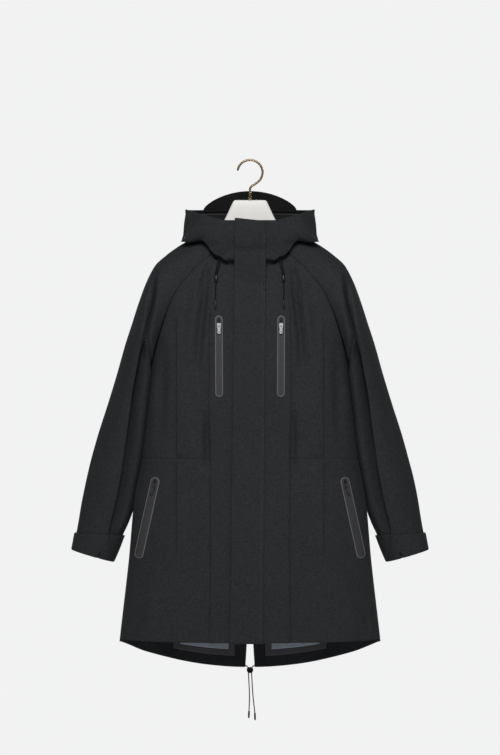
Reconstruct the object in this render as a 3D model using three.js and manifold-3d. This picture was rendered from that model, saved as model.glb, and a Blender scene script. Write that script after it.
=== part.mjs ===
// Hooded parka hanging on a hanger. Millimetres, +Z up, the front faces -Y.
// The origin is the inner top of the hanger's hook, where a rail or a peg carries it.
// Left is -X and right is +X, as seen from the front.
import * as THREE from 'three';
import { mergeVertices } from 'three/addons/utils/BufferGeometryUtils.js';
import Module from 'manifold-3d';

// Cloth
const WALL = 2.0;
const SEAM_GAP = 0.3;
const LAP_GAP = 0.5;
const ROUNDNESS = 2.6;

// Heights of the main lines on the body
const NECK_FRONT_Z = -239;
const NECK_CORNER_Z = -212;
const NECK_BACK_Z = -170;
const ARMPIT_Z = -461;
const WAIST_Z = -668;
const HEM_FRONT_Z = -1077;
const HEM_SIDE_Z = -1073;
const HEM_BACK_Z = -1146;
const HEM_HALF = 293;
const FISHTAIL_ROUNDNESS = 0.85;
const NECK_ROUNDNESS = 1.6;

// Places across the body
const NECK_LEVEL_X = 34;
const NECK_CORNER_X = 88;
const NECK_BACK_X = 62;
const PLEAT_X = 90;
const PLEAT_LAP = 9;
const PLEAT_RISE = 2.8;
const PLEAT_SINK = 1.2;
const PLEAT_WAIST = { z: -1000, height: 160, inward: 3 };
const ZIP_FACET_X = 56;

// The tuck: how proud its edge is, how wide each side of it is and where it fades in and out
const TUCK_X = 162;
const TUCK = { proud: 2.4, width: 16, sunk: 0.96, sunkAt: 8, sunkWidth: 9 };
const TUCK_STARTS = [335, 400];
const TUCK_FADES = [760, 930];

// Rows and columns of the front's panels
const WAIST_ROW_COUNT = 6;
const SKIRT_ROW_COUNT = 7;
const SKIRT_HEM_Z = { last: -1000, middle: -1040, hem: -1075 };
const SIDE_PANEL = { toTuck: 5, toSeam: 4, tuckShare: 0.62, beyondTuck: 5, beyondShare: 0.2 };
const CENTRE_ROWS = { neck: [0, 0.02, 0.06, 0.11], first: 0.16, count: 15 };
const CENTRE_EDGE = 3;

// The body's cross-section at each height
const TORSO = [
  { z: -150, halfWidth: 232, front: 34, back: 38 },
  { z: -212, halfWidth: 234, front: 43, back: 46 },
  { z: -240, halfWidth: 235, front: 49, back: 50 },
  { z: -300, halfWidth: 232, front: 60, back: 58 },
  { z: -380, halfWidth: 226, front: 70, back: 66 },
  { z: -461, halfWidth: 221, front: 77, back: 72 },
  { z: -560, halfWidth: 231, front: 81, back: 75 },
  { z: -668, halfWidth: 243, front: 82, back: 77 },
  { z: -760, halfWidth: 260, front: 87, back: 82 },
  { z: -900, halfWidth: 273, front: 94, back: 89 },
  { z: -1075, halfWidth: 293, front: 101, back: 97 },
  { z: -1160, halfWidth: 301, front: 104, back: 100 },
];

// Half a raglan sleeve above the armpit: the seam on the front, the seam on the back
// and the ridge along the shoulder, with how far each section has closed into a tube
const RAGLAN = [
  { frontX: 88, frontZ: -212, backX: 62, backZ: -170, ridgeX: 80, ridgeZ: -150, closed: 0 },
  { frontX: 107, frontZ: -228, backX: 84, backZ: -196, ridgeX: 104, ridgeZ: -161, closed: 0 },
  { frontX: 125, frontZ: -244, backX: 104, backZ: -221, ridgeX: 132, ridgeZ: -176, closed: 0.02 },
  { frontX: 140, frontZ: -261, backX: 124, backZ: -248, ridgeX: 160, ridgeZ: -192, closed: 0.05 },
  { frontX: 154, frontZ: -278, backX: 143, backZ: -278, ridgeX: 188, ridgeZ: -212, closed: 0.1 },
  { frontX: 172, frontZ: -308, backX: 163, backZ: -314, ridgeX: 212, ridgeZ: -234, closed: 0.2 },
  { frontX: 188, frontZ: -346, backX: 183, backZ: -354, ridgeX: 232, ridgeZ: -270, closed: 0.35 },
  { frontX: 201, frontZ: -386, backX: 200, backZ: -394, ridgeX: 250, ridgeZ: -318, closed: 0.55 },
  { frontX: 212, frontZ: -423, backX: 212, backZ: -429, ridgeX: 266, ridgeZ: -368, closed: 0.8 },
  { frontX: 221, frontZ: -461, backX: 221, backZ: -461, ridgeX: 281, ridgeZ: -416, closed: 1 },
];

// The sleeve below the armpit: its inner edge, its outer edge, half its depth from
// front to back and how far it hangs behind the middle of the body
const SLEEVE = [
  { innerX: 228.5, innerZ: -515, outerX: 299, outerZ: -480, halfDepth: 60, behind: 7 },
  { innerX: 235, innerZ: -575, outerX: 319, outerZ: -546, halfDepth: 58, behind: 11 },
  { innerX: 243, innerZ: -640, outerX: 342, outerZ: -618, halfDepth: 56, behind: 13 },
  { innerX: 252, innerZ: -708, outerX: 362, outerZ: -692, halfDepth: 54, behind: 14 },
  { innerX: 264, innerZ: -768, outerX: 377, outerZ: -760, halfDepth: 51, behind: 14 },
  { innerX: 276, innerZ: -812, outerX: 385, outerZ: -806, halfDepth: 48, behind: 13 },
  { innerX: 287, innerZ: -842, outerX: 391, outerZ: -838, halfDepth: 46, behind: 12 },
  { innerX: 298, innerZ: -872, outerX: 395, outerZ: -858, halfDepth: 45, behind: 11 },
  { innerX: 309, innerZ: -900, outerX: 399, outerZ: -874, halfDepth: 44, behind: 10 },
];
const SLEEVE_DEPTH = 62;
const ARMPIT_GAP = 1.2;
const SLEEVE_COLUMNS = 22;
const CUFF_FIRST_ROW = 6;
const CUFF_STAND = 1.2;
const CUFF_NOTCH_COLUMN = 6;

// The main folds of the cloth: each runs from a top point to a bottom point of the
// body or the sleeve, and its depth is positive where the cloth stands proud
const FRONT_FOLDS = [
  { topX: 92, topZ: -226, bottomX: 120, bottomZ: -470, width: 9, depth: -4 },
  { topX: 78, topZ: -232, bottomX: 102, bottomZ: -400, width: 9, depth: 2.5 },
  { topX: 108, topZ: -240, bottomX: 142, bottomZ: -450, width: 12, depth: 3 },
  { topX: 196, topZ: -400, bottomX: 205, bottomZ: -640, width: 14, depth: -3.5 },
  { topX: 98, topZ: -560, bottomX: 96, bottomZ: -700, width: 7, depth: -5 },
  { topX: 128, topZ: -500, bottomX: 126, bottomZ: -800, width: 20, depth: 2.5 },
  { topX: 130, topZ: -700, bottomX: 134, bottomZ: -1120, width: 18, depth: -3 },
  { topX: 210, topZ: -900, bottomX: 236, bottomZ: -1120, width: 18, depth: 4 },
];
const BACK_FOLDS = [
  { topX: 60, topZ: -260, bottomX: 74, bottomZ: -620, width: 16, depth: -4 },
  { topX: 104, topZ: -300, bottomX: 112, bottomZ: -700, width: 18, depth: 4 },
  { topX: 160, topZ: -380, bottomX: 182, bottomZ: -760, width: 16, depth: -5 },
  { topX: 36, topZ: -560, bottomX: 44, bottomZ: -1000, width: 18, depth: 4 },
  { topX: 92, topZ: -700, bottomX: 108, bottomZ: -1130, width: 20, depth: -6 },
  { topX: 152, topZ: -780, bottomX: 176, bottomZ: -1130, width: 22, depth: 6 },
  { topX: 212, topZ: -800, bottomX: 236, bottomZ: -1100, width: 18, depth: -6 },
];
const SLEEVE_FOLDS = [
  { turn: 38, firstRow: 7, lastRow: 17, width: 12, depth: 5 },
  { turn: 18, firstRow: 6, lastRow: 17, width: 10, depth: -5 },
  { turn: 68, firstRow: 9, lastRow: 16, width: 16, depth: -3 },
  { turn: 104, firstRow: 8, lastRow: 17, width: 18, depth: 3 },
  { turn: 130, firstRow: 5, lastRow: 16, width: 14, depth: -5 },
  { turn: 156, firstRow: 7, lastRow: 17, width: 12, depth: 4 },
];

// The hood's ring from the seam at the neck up to its rim, as loops round the hanger
const HOOD_LEVELS = [
  { halfWidth: 112, front: 59, back: 92, frontZ: -210, sideZ: -155, backZ: -202, square: 2.4 },
  { halfWidth: 143, front: 69, back: 132, frontZ: -196, sideZ: -178, backZ: -222, square: 2.6 },
  { halfWidth: 151, front: 75, back: 154, frontZ: -176, sideZ: -164, backZ: -184, square: 2.8 },
  { halfWidth: 149, front: 78, back: 142, frontZ: -156, sideZ: -134, backZ: -134, square: 2.8 },
  { halfWidth: 145, front: 80, back: 104, frontZ: -137, sideZ: -109, backZ: -104, square: 2.8 },
];
const HOOD_BASE = -2;
const HOOD_STAND = -1;
const HOOD_TURNS = [0, 9, 18, 27, 36, 45, 54, 62, 70, 80, 90, 103, 117, 131, 145, 158, 169];
const NECK_TURNS = { frontEnds: 40, backStarts: 140 };
const RIM_ROUNDNESS = 2.4;
const HOOD_WING = [
  { level: 1, turn: 70, outward: 9 },
  { level: 2, turn: 66, outward: 7 },
  { level: 3, turn: 54, outward: 5 },
  { level: 4, turn: 41, outward: 3 },
];
const HOOD_WING_WIDTH = 11;
const HOOD_BASE_INSET = 4.2;
const HOOD_BASE_DROP = 4;
const HOOD_STAND_RISE = 7.5;
const HOOD_STAND_INSET = 3.2;
const BRIM_HALF_WIDTH = 105;
const BRIM_RISE = 38;
const BRIM_LEAN = 9;
const BRIM_END_HEIGHT = 1.5;
const BRIM_GAP = 1.1;
const BRIM_ROUNDNESS = 0.6;

// What shows inside the back of the hood: a band below the rim and the lining under it. Each has
// its shares of the way between two levels, and it ends at a turn on each side.
const NECK_FACING = { level: 3, endTurn: 131, wall: 0.8, gap: 0.6 };
const NECK_BAND_SHARES = [0.27, 0.5, 0.73];
const NECK_LINING_SHARES = [0.02, 0.24];

// The storm flap: its edges at the top and at the hem
const FLAP_LEFT_TOP = -33;
const FLAP_RIGHT_TOP = 35;
const FLAP_LEFT_HEM = -44;
const FLAP_RIGHT_HEM = 28;
const FLAP_TOP_LEFT_Z = -132;
const FLAP_TOP_RIGHT_Z = -139;
const FLAP_FREE_STAND = 3.0;
const FLAP_SEWN_STAND = 0.6;
const FLAP_COLLAR_STAND = 0.9;

// Welded zips: the top and the bottom of each, its width and where its slider stands
const ZIPS = [
  { kind: 'chest', topX: 69.5, topZ: -349, bottomX: 68.5, bottomZ: -530, width: 17, sliderAt: 22 },
  { kind: 'hand', topX: 210, topZ: -710, bottomX: 250, bottomZ: -891, width: 20, sliderAt: 20 },
];
const ZIP_FRAME_BAND = 3.2;
const ZIP_FRAME_WALL = 0.9;
const ZIP_TAPE_WALL = 0.7;
const ZIP_ARC_STEPS = 5;
const ZIP_SIDE_STEPS = 5;
const SLIDER = { width: 8, length: 11, height: 2.3, chamfer: 0.6 };
const BRIDGE = { width: 2.6, innerHalf: 1.15, bar: 1.0 };
const PIVOT_HEIGHT = 4.2;
const SLIDER_STAND = 0.4;
const PULL = { width: 6.4, length: 19, thickness: 1.2, arm: 1.5, eye: 3.4, corner: 1.2 };
const PULL_WINDOW = { above: 2.6, size: 2.4 };

// Cords and what is on them
const CORD_RADIUS = 1.2;
const CORD_SIDES = 8;
const NECK_CORD = {
  left: { splitX: 70, beadX: 75.5, endX: 76.5 },
  right: { splitX: 70, beadX: 74.5, endX: 75 },
};
const STRAND_SPREAD = 1.6;
const STRAND_CLEARANCE = 3;
const BEAD_STAND = 2;
const EYELET_TURN = 31;
const EYELET_SHARE = 0.5;
const EYELET_STAND = 0.6;
const EYELET_RADIUS = 4.5;
const EYELET_THICKNESS = 2.2;
const NECK_STRAND_HALF = 1.5;
const BEAD_TOP_Z = -258;
const BEAD_LENGTH = 14;
const BEAD_RADIUS = 4;
const BEAD_CLEARANCE = 0.6;
const AGLET_TOP_Z = -314;
const AGLET_LENGTH = 19;
const AGLET_RADIUS = 2.1;
const CORD_CLEARANCE = 3;
const TOGGLE_Z = -1153;
const TOGGLE_RADIUS = 7.5;
const TOGGLE_HALF_DEPTH = 5.5;
const HEM_CORDS = [
  { name: 'left', side: -1, midX: 1.2, endX: 2.2, tipZ: -1246, endZ: -1263 },
  { name: 'right', side: 1, midX: 7, endX: 11, tipZ: -1250, endZ: -1268 },
];
const HEM_CORD = { y: 101, topX: 11, topZ: -1142, enterX: 5, leaveX: 3.6 };

// The vent in the back hem and the pieces that show inside it
const VENT_TOP_Z = -985;
const VENT_TOP_HALF = 1.6;
const VENT_HEM_HALF = 10.5;
const LINING = { wall: 0.8, gap: 0.4, seam: 0.5 };
const BACK_COLUMNS = [35, 49, 78, 106, 134, 158, 174, 200, 226, 250, 270, 285, 293];
const BACK_HEM_SHARES = [0.25, 0.5, 0.64, 0.755, 0.845, 1];
const LINING_ROWS = [2, 3, 4];
const LINING_COLUMNS = [1, 2, 3, 4, 5];
const TAPE_ROWS = [2, 3, 4, 5];
const TAPE_COLUMNS = [0, 1, 2, 3, 4, 5, 6];

// The hanger: sections across it, from the middle to the end of one arm
const HANGER = [
  { x: 0, top: -88, bottom: -178, halfDepth: 6 },
  { x: 32, top: -88, bottom: -179, halfDepth: 6 },
  { x: 36.5, top: -89.5, bottom: -180, halfDepth: 6 },
  { x: 39, top: -93.5, bottom: -180, halfDepth: 6 },
  { x: 61, top: -138, bottom: -185, halfDepth: 7 },
  { x: 80, top: -156, bottom: -193, halfDepth: 9 },
  { x: 120, top: -176, bottom: -214, halfDepth: 12 },
  { x: 160, top: -199, bottom: -234, halfDepth: 15 },
  { x: 190, top: -222, bottom: -247, halfDepth: 16 },
  { x: 202, top: -234, bottom: -248, halfDepth: 11 },
];
const HANGER_SIDES = 16;
const HOOK_WIRE = 2.5;
const HOOK_RADIUS = 28.3;
const HOOK_CENTRE_Z = -25.8;
const HOOK_TIP_TURN = 172;
const HOOK_STEPS = 30;
const HOOK_SIDES = 8;
const SHAFT_TOP_Z = -67;
const HOOK_NECK = [[23.5, -41], [11, -52], [2.6, -57.5], [0, -63], [0, -65], [0, SHAFT_TOP_Z]];
const SHAFT_RADIUS = 2.7;
const COLLAR_RADIUS = 4.3;

const CLOTH = { color: 0x24282a, roughness: 0.85, metalness: 0 };
const MATERIALS = {
  cloth: CLOTH,
  zipFrame: { color: 0x55565a, roughness: 0.5, metalness: 0 },
  zipTape: { color: 0x3f3d3f, roughness: 0.8, metalness: 0 },
  slider: { color: 0x3a3a3c, roughness: 0.35, metalness: 0.9 },
  cord: { color: 0x16181c, roughness: 0.8, metalness: 0 },
  fitting: { color: 0x1a1a1c, roughness: 0.45, metalness: 0 },
  lining: { color: 0x8f9aa6, roughness: 0.7, metalness: 0 },
  seamTape: { color: 0x5d5866, roughness: 0.6, metalness: 0 },
  hanger: { color: 0xe8e6e2, roughness: 0.45, metalness: 0 },
  hook: { color: 0x8a7350, roughness: 0.35, metalness: 1 },
  shaft: { color: 0xb79a63, roughness: 0.3, metalness: 1 },
};

const wasm = await Module();
wasm.setup();
const group = new THREE.Group();

const lerp = THREE.MathUtils.lerp;
const radians = THREE.MathUtils.degToRad;

// A value of a table's column at a key, as a smooth curve through the rows
function along(table, keyName, key, column) {
  const rising = table[table.length - 1][keyName] > table[0][keyName];
  let index = 0;
  while (index < table.length - 2) {
    const next = table[index + 1][keyName];
    if (rising ? key <= next : key >= next) break;
    index += 1;
  }
  const slopeAt = (row) => {
    const before = table[Math.max(row - 1, 0)];
    const after = table[Math.min(row + 1, table.length - 1)];
    return (after[column] - before[column]) / (after[keyName] - before[keyName]);
  };
  const start = table[index];
  const end = table[index + 1];
  const span = end[keyName] - start[keyName];
  const t = THREE.MathUtils.clamp((key - start[keyName]) / span, 0, 1);
  const t2 = t * t;
  const t3 = t2 * t;
  return (2 * t3 - 3 * t2 + 1) * start[column] + (t3 - 2 * t2 + t) * span * slopeAt(index)
    + (3 * t2 - 2 * t3) * end[column] + (t3 - t2) * span * slopeAt(index + 1);
}

// A soft bump of height 1 at distance 0 that dies away over the width
function bump(distance, width) {
  return Math.exp(-((distance / width) ** 2));
}

// How far the folds of a list move the cloth at a place on the body
function foldDepth(folds, x, z) {
  let depth = 0;
  for (const fold of folds) {
    const t = (z - fold.topZ) / (fold.bottomZ - fold.topZ);
    if (t <= 0 || t >= 1) continue;
    const centre = lerp(fold.topX, fold.bottomX, t);
    depth += fold.depth * Math.sin(Math.PI * t) ** 0.7 * bump(Math.abs(x) - centre, fold.width);
  }
  return depth;
}

// The tuck: a lapped edge, proud on the middle's side, that fades in and out
function tuckDepth(x, z) {
  const distance = Math.abs(x) - TUCK_X;
  const chest = THREE.MathUtils.smoothstep(-z, ...TUCK_STARTS);
  const skirt = 1 - THREE.MathUtils.smoothstep(-z, ...TUCK_FADES);
  const proud = TUCK.proud * bump(distance, TUCK.width);
  const sunk = TUCK.sunk * bump(distance - TUCK.sunkAt, TUCK.sunkWidth);
  return chest * skirt * (distance < 0 ? proud : -sunk);
}

// The turn round the body at which it reaches a place across, from 0 in the middle to 90
function turnAt(x, z) {
  const share = Math.min(Math.abs(x) / along(TORSO, 'z', z, 'halfWidth'), 1);
  return Math.sign(x) * Math.asin(share ** (ROUNDNESS / 2));
}

// A point of the body's cloth and its outward direction, from the turn and the height.
// face is 'front' or 'back'.
function torso(face, turn, z, offset = 0) {
  const halfWidth = along(TORSO, 'z', z, 'halfWidth');
  const depth = along(TORSO, 'z', z, face);
  const away = face === 'front' ? -1 : 1;
  const across = Math.sign(turn) * Math.abs(Math.sin(turn)) ** (2 / ROUNDNESS);
  const ahead = Math.abs(Math.cos(turn)) ** (2 / ROUNDNESS);
  const normal = new THREE.Vector3(
    (Math.sign(across) * Math.abs(across) ** (ROUNDNESS - 1)) / halfWidth,
    (away * ahead ** (ROUNDNESS - 1)) / depth, 0).normalize();
  const x = across * halfWidth;
  const folds = face === 'front' ? FRONT_FOLDS : BACK_FOLDS;
  const calm = Math.min(1, ahead * 4);
  let fold = foldDepth(folds, x, z) * calm;
  if (face === 'front') fold += tuckDepth(x, z) * calm;
  const point = new THREE.Vector3(x, away * ahead * depth, z).addScaledVector(normal, fold + offset);
  return { point, normal };
}

// The same from the place across instead of the turn
function torsoAt(face, x, z, offset = 0) {
  return torso(face, turnAt(x, z), z, offset);
}

// A closed wall between two grids of points. Quads that keep() refuses are left out.
function wall(outer, inner, keep = () => true, closed = false) {
  const rows = outer.length;
  const columns = outer[0].length;
  const quadColumns = closed ? columns : columns - 1;
  const used = new Map();
  const positions = [];
  const triangles = [];
  const vertex = (grid, layer, row, column) => {
    const key = `${layer}:${row}:${column % columns}`;
    if (!used.has(key)) {
      used.set(key, positions.length / 3);
      const p = grid[row][column % columns];
      positions.push(p.x, p.y, p.z);
    }
    return used.get(key);
  };
  const has = (row, column) => {
    if (row < 0 || row >= rows - 1) return false;
    if (closed) return keep(row, (column + quadColumns) % quadColumns);
    return column >= 0 && column < quadColumns && keep(row, column);
  };
  const quad = (a, b, c, d) => triangles.push(a, b, c, a, c, d);
  for (let row = 0; row < rows - 1; row += 1) {
    for (let column = 0; column < quadColumns; column += 1) {
      if (!has(row, column)) continue;
      const corner = [[row, column], [row, column + 1], [row + 1, column + 1], [row + 1, column]];
      const out = corner.map(([r, c]) => vertex(outer, 'outer', r, c));
      const into = corner.map(([r, c]) => vertex(inner, 'inner', r, c));
      quad(out[0], out[1], out[2], out[3]);
      triangles.push(into[0], into[2], into[1], into[0], into[3], into[2]);
      if (!has(row - 1, column)) quad(out[1], out[0], into[0], into[1]);
      if (!has(row, column + 1)) quad(out[2], out[1], into[1], into[2]);
      if (!has(row + 1, column)) quad(out[3], out[2], into[2], into[3]);
      if (!has(row, column - 1)) quad(out[0], out[3], into[3], into[0]);
    }
  }
  return solid(positions, triangles);
}

// A geometry from points and triangles, turned so that its faces point out
function solid(positions, triangles) {
  let volume = 0;
  const corner = (index) => new THREE.Vector3().fromArray(positions, index * 3);
  for (let i = 0; i < triangles.length; i += 3) {
    volume += corner(triangles[i]).dot(corner(triangles[i + 1]).cross(corner(triangles[i + 2])));
  }
  const faces = [];
  for (let i = 0; i < triangles.length; i += 3) {
    const [a, b, c] = triangles.slice(i, i + 3);
    faces.push(a, volume > 0 ? b : c, volume > 0 ? c : b);
  }
  const geometry = new THREE.BufferGeometry();
  geometry.setAttribute('position', new THREE.Float32BufferAttribute(positions, 3));
  geometry.setIndex(faces);
  geometry.computeVertexNormals();
  return geometry;
}

// A wall of cloth from a grid of places, each with its point and outward direction
function clothFrom(places, thickness = WALL, keep = undefined, closed = false) {
  const outer = places.map((row) => row.map((place) => place.point));
  const inner = places.map((row) => row.map(
    (place) => place.point.clone().addScaledVector(place.normal, -thickness)));
  return wall(outer, inner, keep, closed);
}

function add(name, geometry, material, place = undefined) {
  const mesh = new THREE.Mesh(geometry, new THREE.MeshStandardMaterial(MATERIALS[material]));
  mesh.name = name;
  if (place) mesh.applyMatrix4(place);
  group.add(mesh);
  return mesh;
}

const sideName = (side) => (side < 0 ? 'left' : 'right');

function steps(from, to, count) {
  return Array.from({ length: count + 1 }, (_, i) => lerp(from, to, i / count));
}

// The front hem rises a little towards the sides
function hemFrontZ(x) {
  return lerp(HEM_FRONT_Z, HEM_SIDE_Z, (Math.abs(x) / HEM_HALF) ** 3);
}

// The back hem falls from the side seams to a fishtail
function hemBackZ(x) {
  const share = Math.min(Math.abs(x) / HEM_HALF, 1);
  return lerp(HEM_SIDE_Z, HEM_BACK_Z, (1 - share ** 2) ** FISHTAIL_ROUNDNESS);
}

// The front neck seam is level in the middle and rises to the raglan seam
function neckFrontZ(x) {
  const share = THREE.MathUtils.clamp((Math.abs(x) - NECK_LEVEL_X) / (NECK_CORNER_X - NECK_LEVEL_X), 0, 1);
  return lerp(NECK_FRONT_Z, NECK_CORNER_Z, share ** NECK_ROUNDNESS);
}

const raglanFrontX = (z) => along(RAGLAN, 'frontZ', z, 'frontX');
const raglanBackX = (z) => along(RAGLAN, 'backZ', z, 'backX');
const WAIST_ROWS = steps(ARMPIT_Z, WAIST_Z + SEAM_GAP, WAIST_ROW_COUNT);
const CHEST_ROWS = [...RAGLAN.map((row) => row.frontZ), ...WAIST_ROWS.slice(1)];

// The edge of a body panel at the side: the raglan seam above the armpit, and below
// it the side seam, as a turn round the body
function sideTurn(face, z) {
  if (z > ARMPIT_Z + 1) {
    const x = face === 'front' ? raglanFrontX(z) : raglanBackX(z);
    return turnAt(x - SEAM_GAP, z);
  }
  return Math.PI / 2 - 0.002;
}

// Turns across a side panel, with columns gathered at the tuck
function sidePanelTurns(z) {
  const first = turnAt(PLEAT_X - PLEAT_LAP, z);
  const last = sideTurn('front', z);
  const { toTuck, toSeam, tuckShare, beyondTuck, beyondShare } = SIDE_PANEL;
  const tuck = Math.min(turnAt(TUCK_X, z), lerp(first, last, tuckShare));
  const beyond = Math.min(turnAt(TUCK_X + beyondTuck, z), lerp(tuck, last, beyondShare));
  return [...steps(first, tuck, toTuck), ...steps(beyond, last, toSeam)];
}

// A place on a side panel, which dips where it goes under the centre panel
function sidePlace(turn, z) {
  const { point } = torso('front', turn, z);
  const dip = 1 - THREE.MathUtils.smoothstep(Math.abs(point.x), PLEAT_X + 1, PLEAT_X + PLEAT_LAP);
  return torso('front', turn, z, -PLEAT_SINK * dip);
}

function frontSidePanels(side) {
  const chest = CHEST_ROWS.map((z) => sidePanelTurns(z).map((turn) => sidePlace(side * turn, z)));
  add(`front_chest_${sideName(side)}`, clothFrom(chest), 'cloth');
  const { last, middle, hem } = SKIRT_HEM_Z;
  const rows = [...steps(WAIST_Z - SEAM_GAP, last, SKIRT_ROW_COUNT), middle, hem];
  const skirt = rows.map((z, index) => sidePanelTurns(z).map((turn) => {
    const place = sidePlace(side * turn, z);
    if (index < rows.length - 2) return place;
    const hemZ = hemFrontZ(place.point.x);
    return sidePlace(side * turn, index === rows.length - 1 ? hemZ : lerp(last, hemZ, 0.5));
  }));
  add(`front_skirt_${sideName(side)}`, clothFrom(skirt), 'cloth');
}

// How far the centre panel stands out where it laps over the side panel
function pleatRise(x) {
  const share = (Math.abs(x) - ZIP_FACET_X) / (PLEAT_X - PLEAT_LAP - ZIP_FACET_X);
  return PLEAT_RISE * THREE.MathUtils.clamp(share, 0, 1);
}

function pleatEdgeX(z) {
  return PLEAT_X - PLEAT_WAIST.inward * bump(z - PLEAT_WAIST.z, PLEAT_WAIST.height);
}

function frontCentrePanel(side) {
  const columns = [SEAM_GAP, NECK_LEVEL_X, ZIP_FACET_X, PLEAT_X - PLEAT_LAP, PLEAT_X - CENTRE_EDGE, PLEAT_X];
  const rows = [...CENTRE_ROWS.neck, ...steps(CENTRE_ROWS.first, 1, CENTRE_ROWS.count)];
  const places = rows.map((v) => columns.map((column) => {
    const roughZ = lerp(NECK_FRONT_Z, HEM_FRONT_Z, v);
    const edge = v === 0 ? NECK_CORNER_X - CENTRE_EDGE : pleatEdgeX(roughZ);
    const x = Math.min(column, column === PLEAT_X ? edge : edge - CENTRE_EDGE / 2);
    const z = lerp(neckFrontZ(x), hemFrontZ(x), v);
    return torsoAt('front', side * x, z, pleatRise(x));
  }));
  add(`front_centre_${sideName(side)}`, clothFrom(places), 'cloth');
}

// The back's grid of places: columns from side seam to side seam, rows from the neck to the
// hem, where the rows follow the fishtail
function backPlaces() {
  const rows = [...RAGLAN.map((row) => row.backZ), ...steps(ARMPIT_Z, VENT_TOP_Z, 8).slice(1)];
  const half = BACK_COLUMNS.map((x) => turnAt(x, HEM_SIDE_Z) / (Math.PI / 2));
  const shares = [...half.map((share) => -share).reverse(), -0, 0, ...half];
  const middle = half.length + 0.5;
  return [...rows, ...BACK_HEM_SHARES].map((key, index) => shares.map((share, column) => {
    const inHem = index >= rows.length;
    const z = inHem ? VENT_TOP_Z : key;
    const side = column < middle ? -1 : 1;
    const ventHalf = inHem ? lerp(VENT_TOP_HALF, VENT_HEM_HALF, key) : VENT_TOP_HALF;
    const turn = Math.abs(share) > 0 ? Math.abs(share) * sideTurn('back', z) : turnAt(ventHalf, z);
    if (!inHem) return torso('back', side * turn, z);
    const { x } = torso('back', side * turn, z).point;
    return torso('back', side * turn, lerp(VENT_TOP_Z, hemBackZ(x), key));
  }));
}

// The back, with its vent left open from the hem up to VENT_TOP_Z
function backPanel() {
  const places = backPlaces();
  const ventRow = places.length - 1 - BACK_HEM_SHARES.length;
  const ventColumn = BACK_COLUMNS.length;
  const keep = (row, column) => row < ventRow || column !== ventColumn;
  add('back', clothFrom(places, WALL, keep), 'cloth');
}

// One section of the sleeve as points, from the front seam over the outer edge to the
// back seam, at equal turns
function sleeveSection(side, row) {
  const raglan = row < RAGLAN.length;
  const data = raglan ? RAGLAN[row] : SLEEVE[row - RAGLAN.length];
  const closed = raglan ? data.closed : 1;
  const behind = raglan ? 0 : data.behind;
  const halfDepth = raglan ? SLEEVE_DEPTH : data.halfDepth;
  const edge = { front: new THREE.Vector3(), back: new THREE.Vector3() };
  for (const face of ['front', 'back']) {
    if (raglan) {
      const z = data[`${face}Z`];
      const x = data[`${face}X`] + SEAM_GAP + ARMPIT_GAP * closed;
      edge[face] = torsoAt(face, x, z).point;
    } else {
      edge[face] = new THREE.Vector3(data.innerX, behind, data.innerZ);
    }
    if (closed === 1) edge[face].y = behind + (face === 'front' ? -0.2 : 0.2);
  }
  const outer = raglan ? { x: data.ridgeX, z: data.ridgeZ } : { x: data.outerX, z: data.outerZ };
  return steps(0, Math.PI, SLEEVE_COLUMNS).map((turn) => {
    const from = turn < Math.PI / 2 ? edge.front : edge.back;
    const reach = lerp(Math.sin(turn), Math.sin(turn) ** 2, closed);
    const y = behind + (from.y - behind) * Math.abs(Math.cos(turn)) - halfDepth * closed * Math.sin(2 * turn);
    return new THREE.Vector3(side * lerp(from.x, outer.x, reach), y, lerp(from.z, outer.z, reach));
  });
}

// How far the sleeve's folds move a place on it, by its turn and its row
function sleeveFold(turnDegrees, row) {
  let depth = 0;
  for (const fold of SLEEVE_FOLDS) {
    const t = (row - fold.firstRow) / (fold.lastRow - fold.firstRow);
    if (t <= 0 || t >= 1) continue;
    depth += fold.depth * Math.sin(Math.PI * t) * bump(turnDegrees - fold.turn, fold.width);
  }
  return depth;
}

// Outward directions of a grid of points that goes round an axis, from its neighbours
function directions(points, side) {
  return points.map((line, row) => line.map((_, column) => {
    const above = points[Math.max(row - 1, 0)][column];
    const below = points[Math.min(row + 1, points.length - 1)][column];
    const before = line[Math.max(column - 1, 0)];
    const after = line[Math.min(column + 1, line.length - 1)];
    const down = below.clone().sub(above);
    const round = after.clone().sub(before);
    return round.cross(down).normalize().multiplyScalar(-side);
  }));
}

// The sleeve's places, with the folds in them
function sleevePlaces(side) {
  const rowCount = RAGLAN.length + SLEEVE.length;
  const points = Array.from({ length: rowCount }, (_, row) => sleeveSection(side, row));
  const normals = directions(points, side);
  const last = SLEEVE_COLUMNS;
  for (let row = 0; row < RAGLAN.length - 2; row += 1) {
    const data = RAGLAN[row];
    normals[row][0] = torsoAt('front', side * data.frontX, data.frontZ).normal;
    normals[row][last] = torsoAt('back', side * data.backX, data.backZ).normal;
  }
  return points.map((line, row) => line.map((point, column) => {
    const fold = sleeveFold((column / last) * 180, row);
    const normal = normals[row][column];
    return { point: point.clone().addScaledVector(normal, fold), normal };
  }));
}

function sleeve(side) {
  const places = sleevePlaces(side);
  add(`sleeve_${sideName(side)}`, clothFrom(places), 'cloth');
  const cuffRows = places.slice(RAGLAN.length + CUFF_FIRST_ROW);
  const cuff = cuffRows.map((line, row) => line.map(({ point, normal }) => {
    const flare = WALL + LAP_GAP + CUFF_STAND * (1 - row / (cuffRows.length - 1));
    return { point: point.clone().addScaledVector(normal, flare), normal };
  }));
  const keep = (row, column) => row < cuffRows.length - 2 || column !== CUFF_NOTCH_COLUMN;
  add(`cuff_${sideName(side)}`, clothFrom(cuff, WALL, keep), 'cloth');
}

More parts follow.
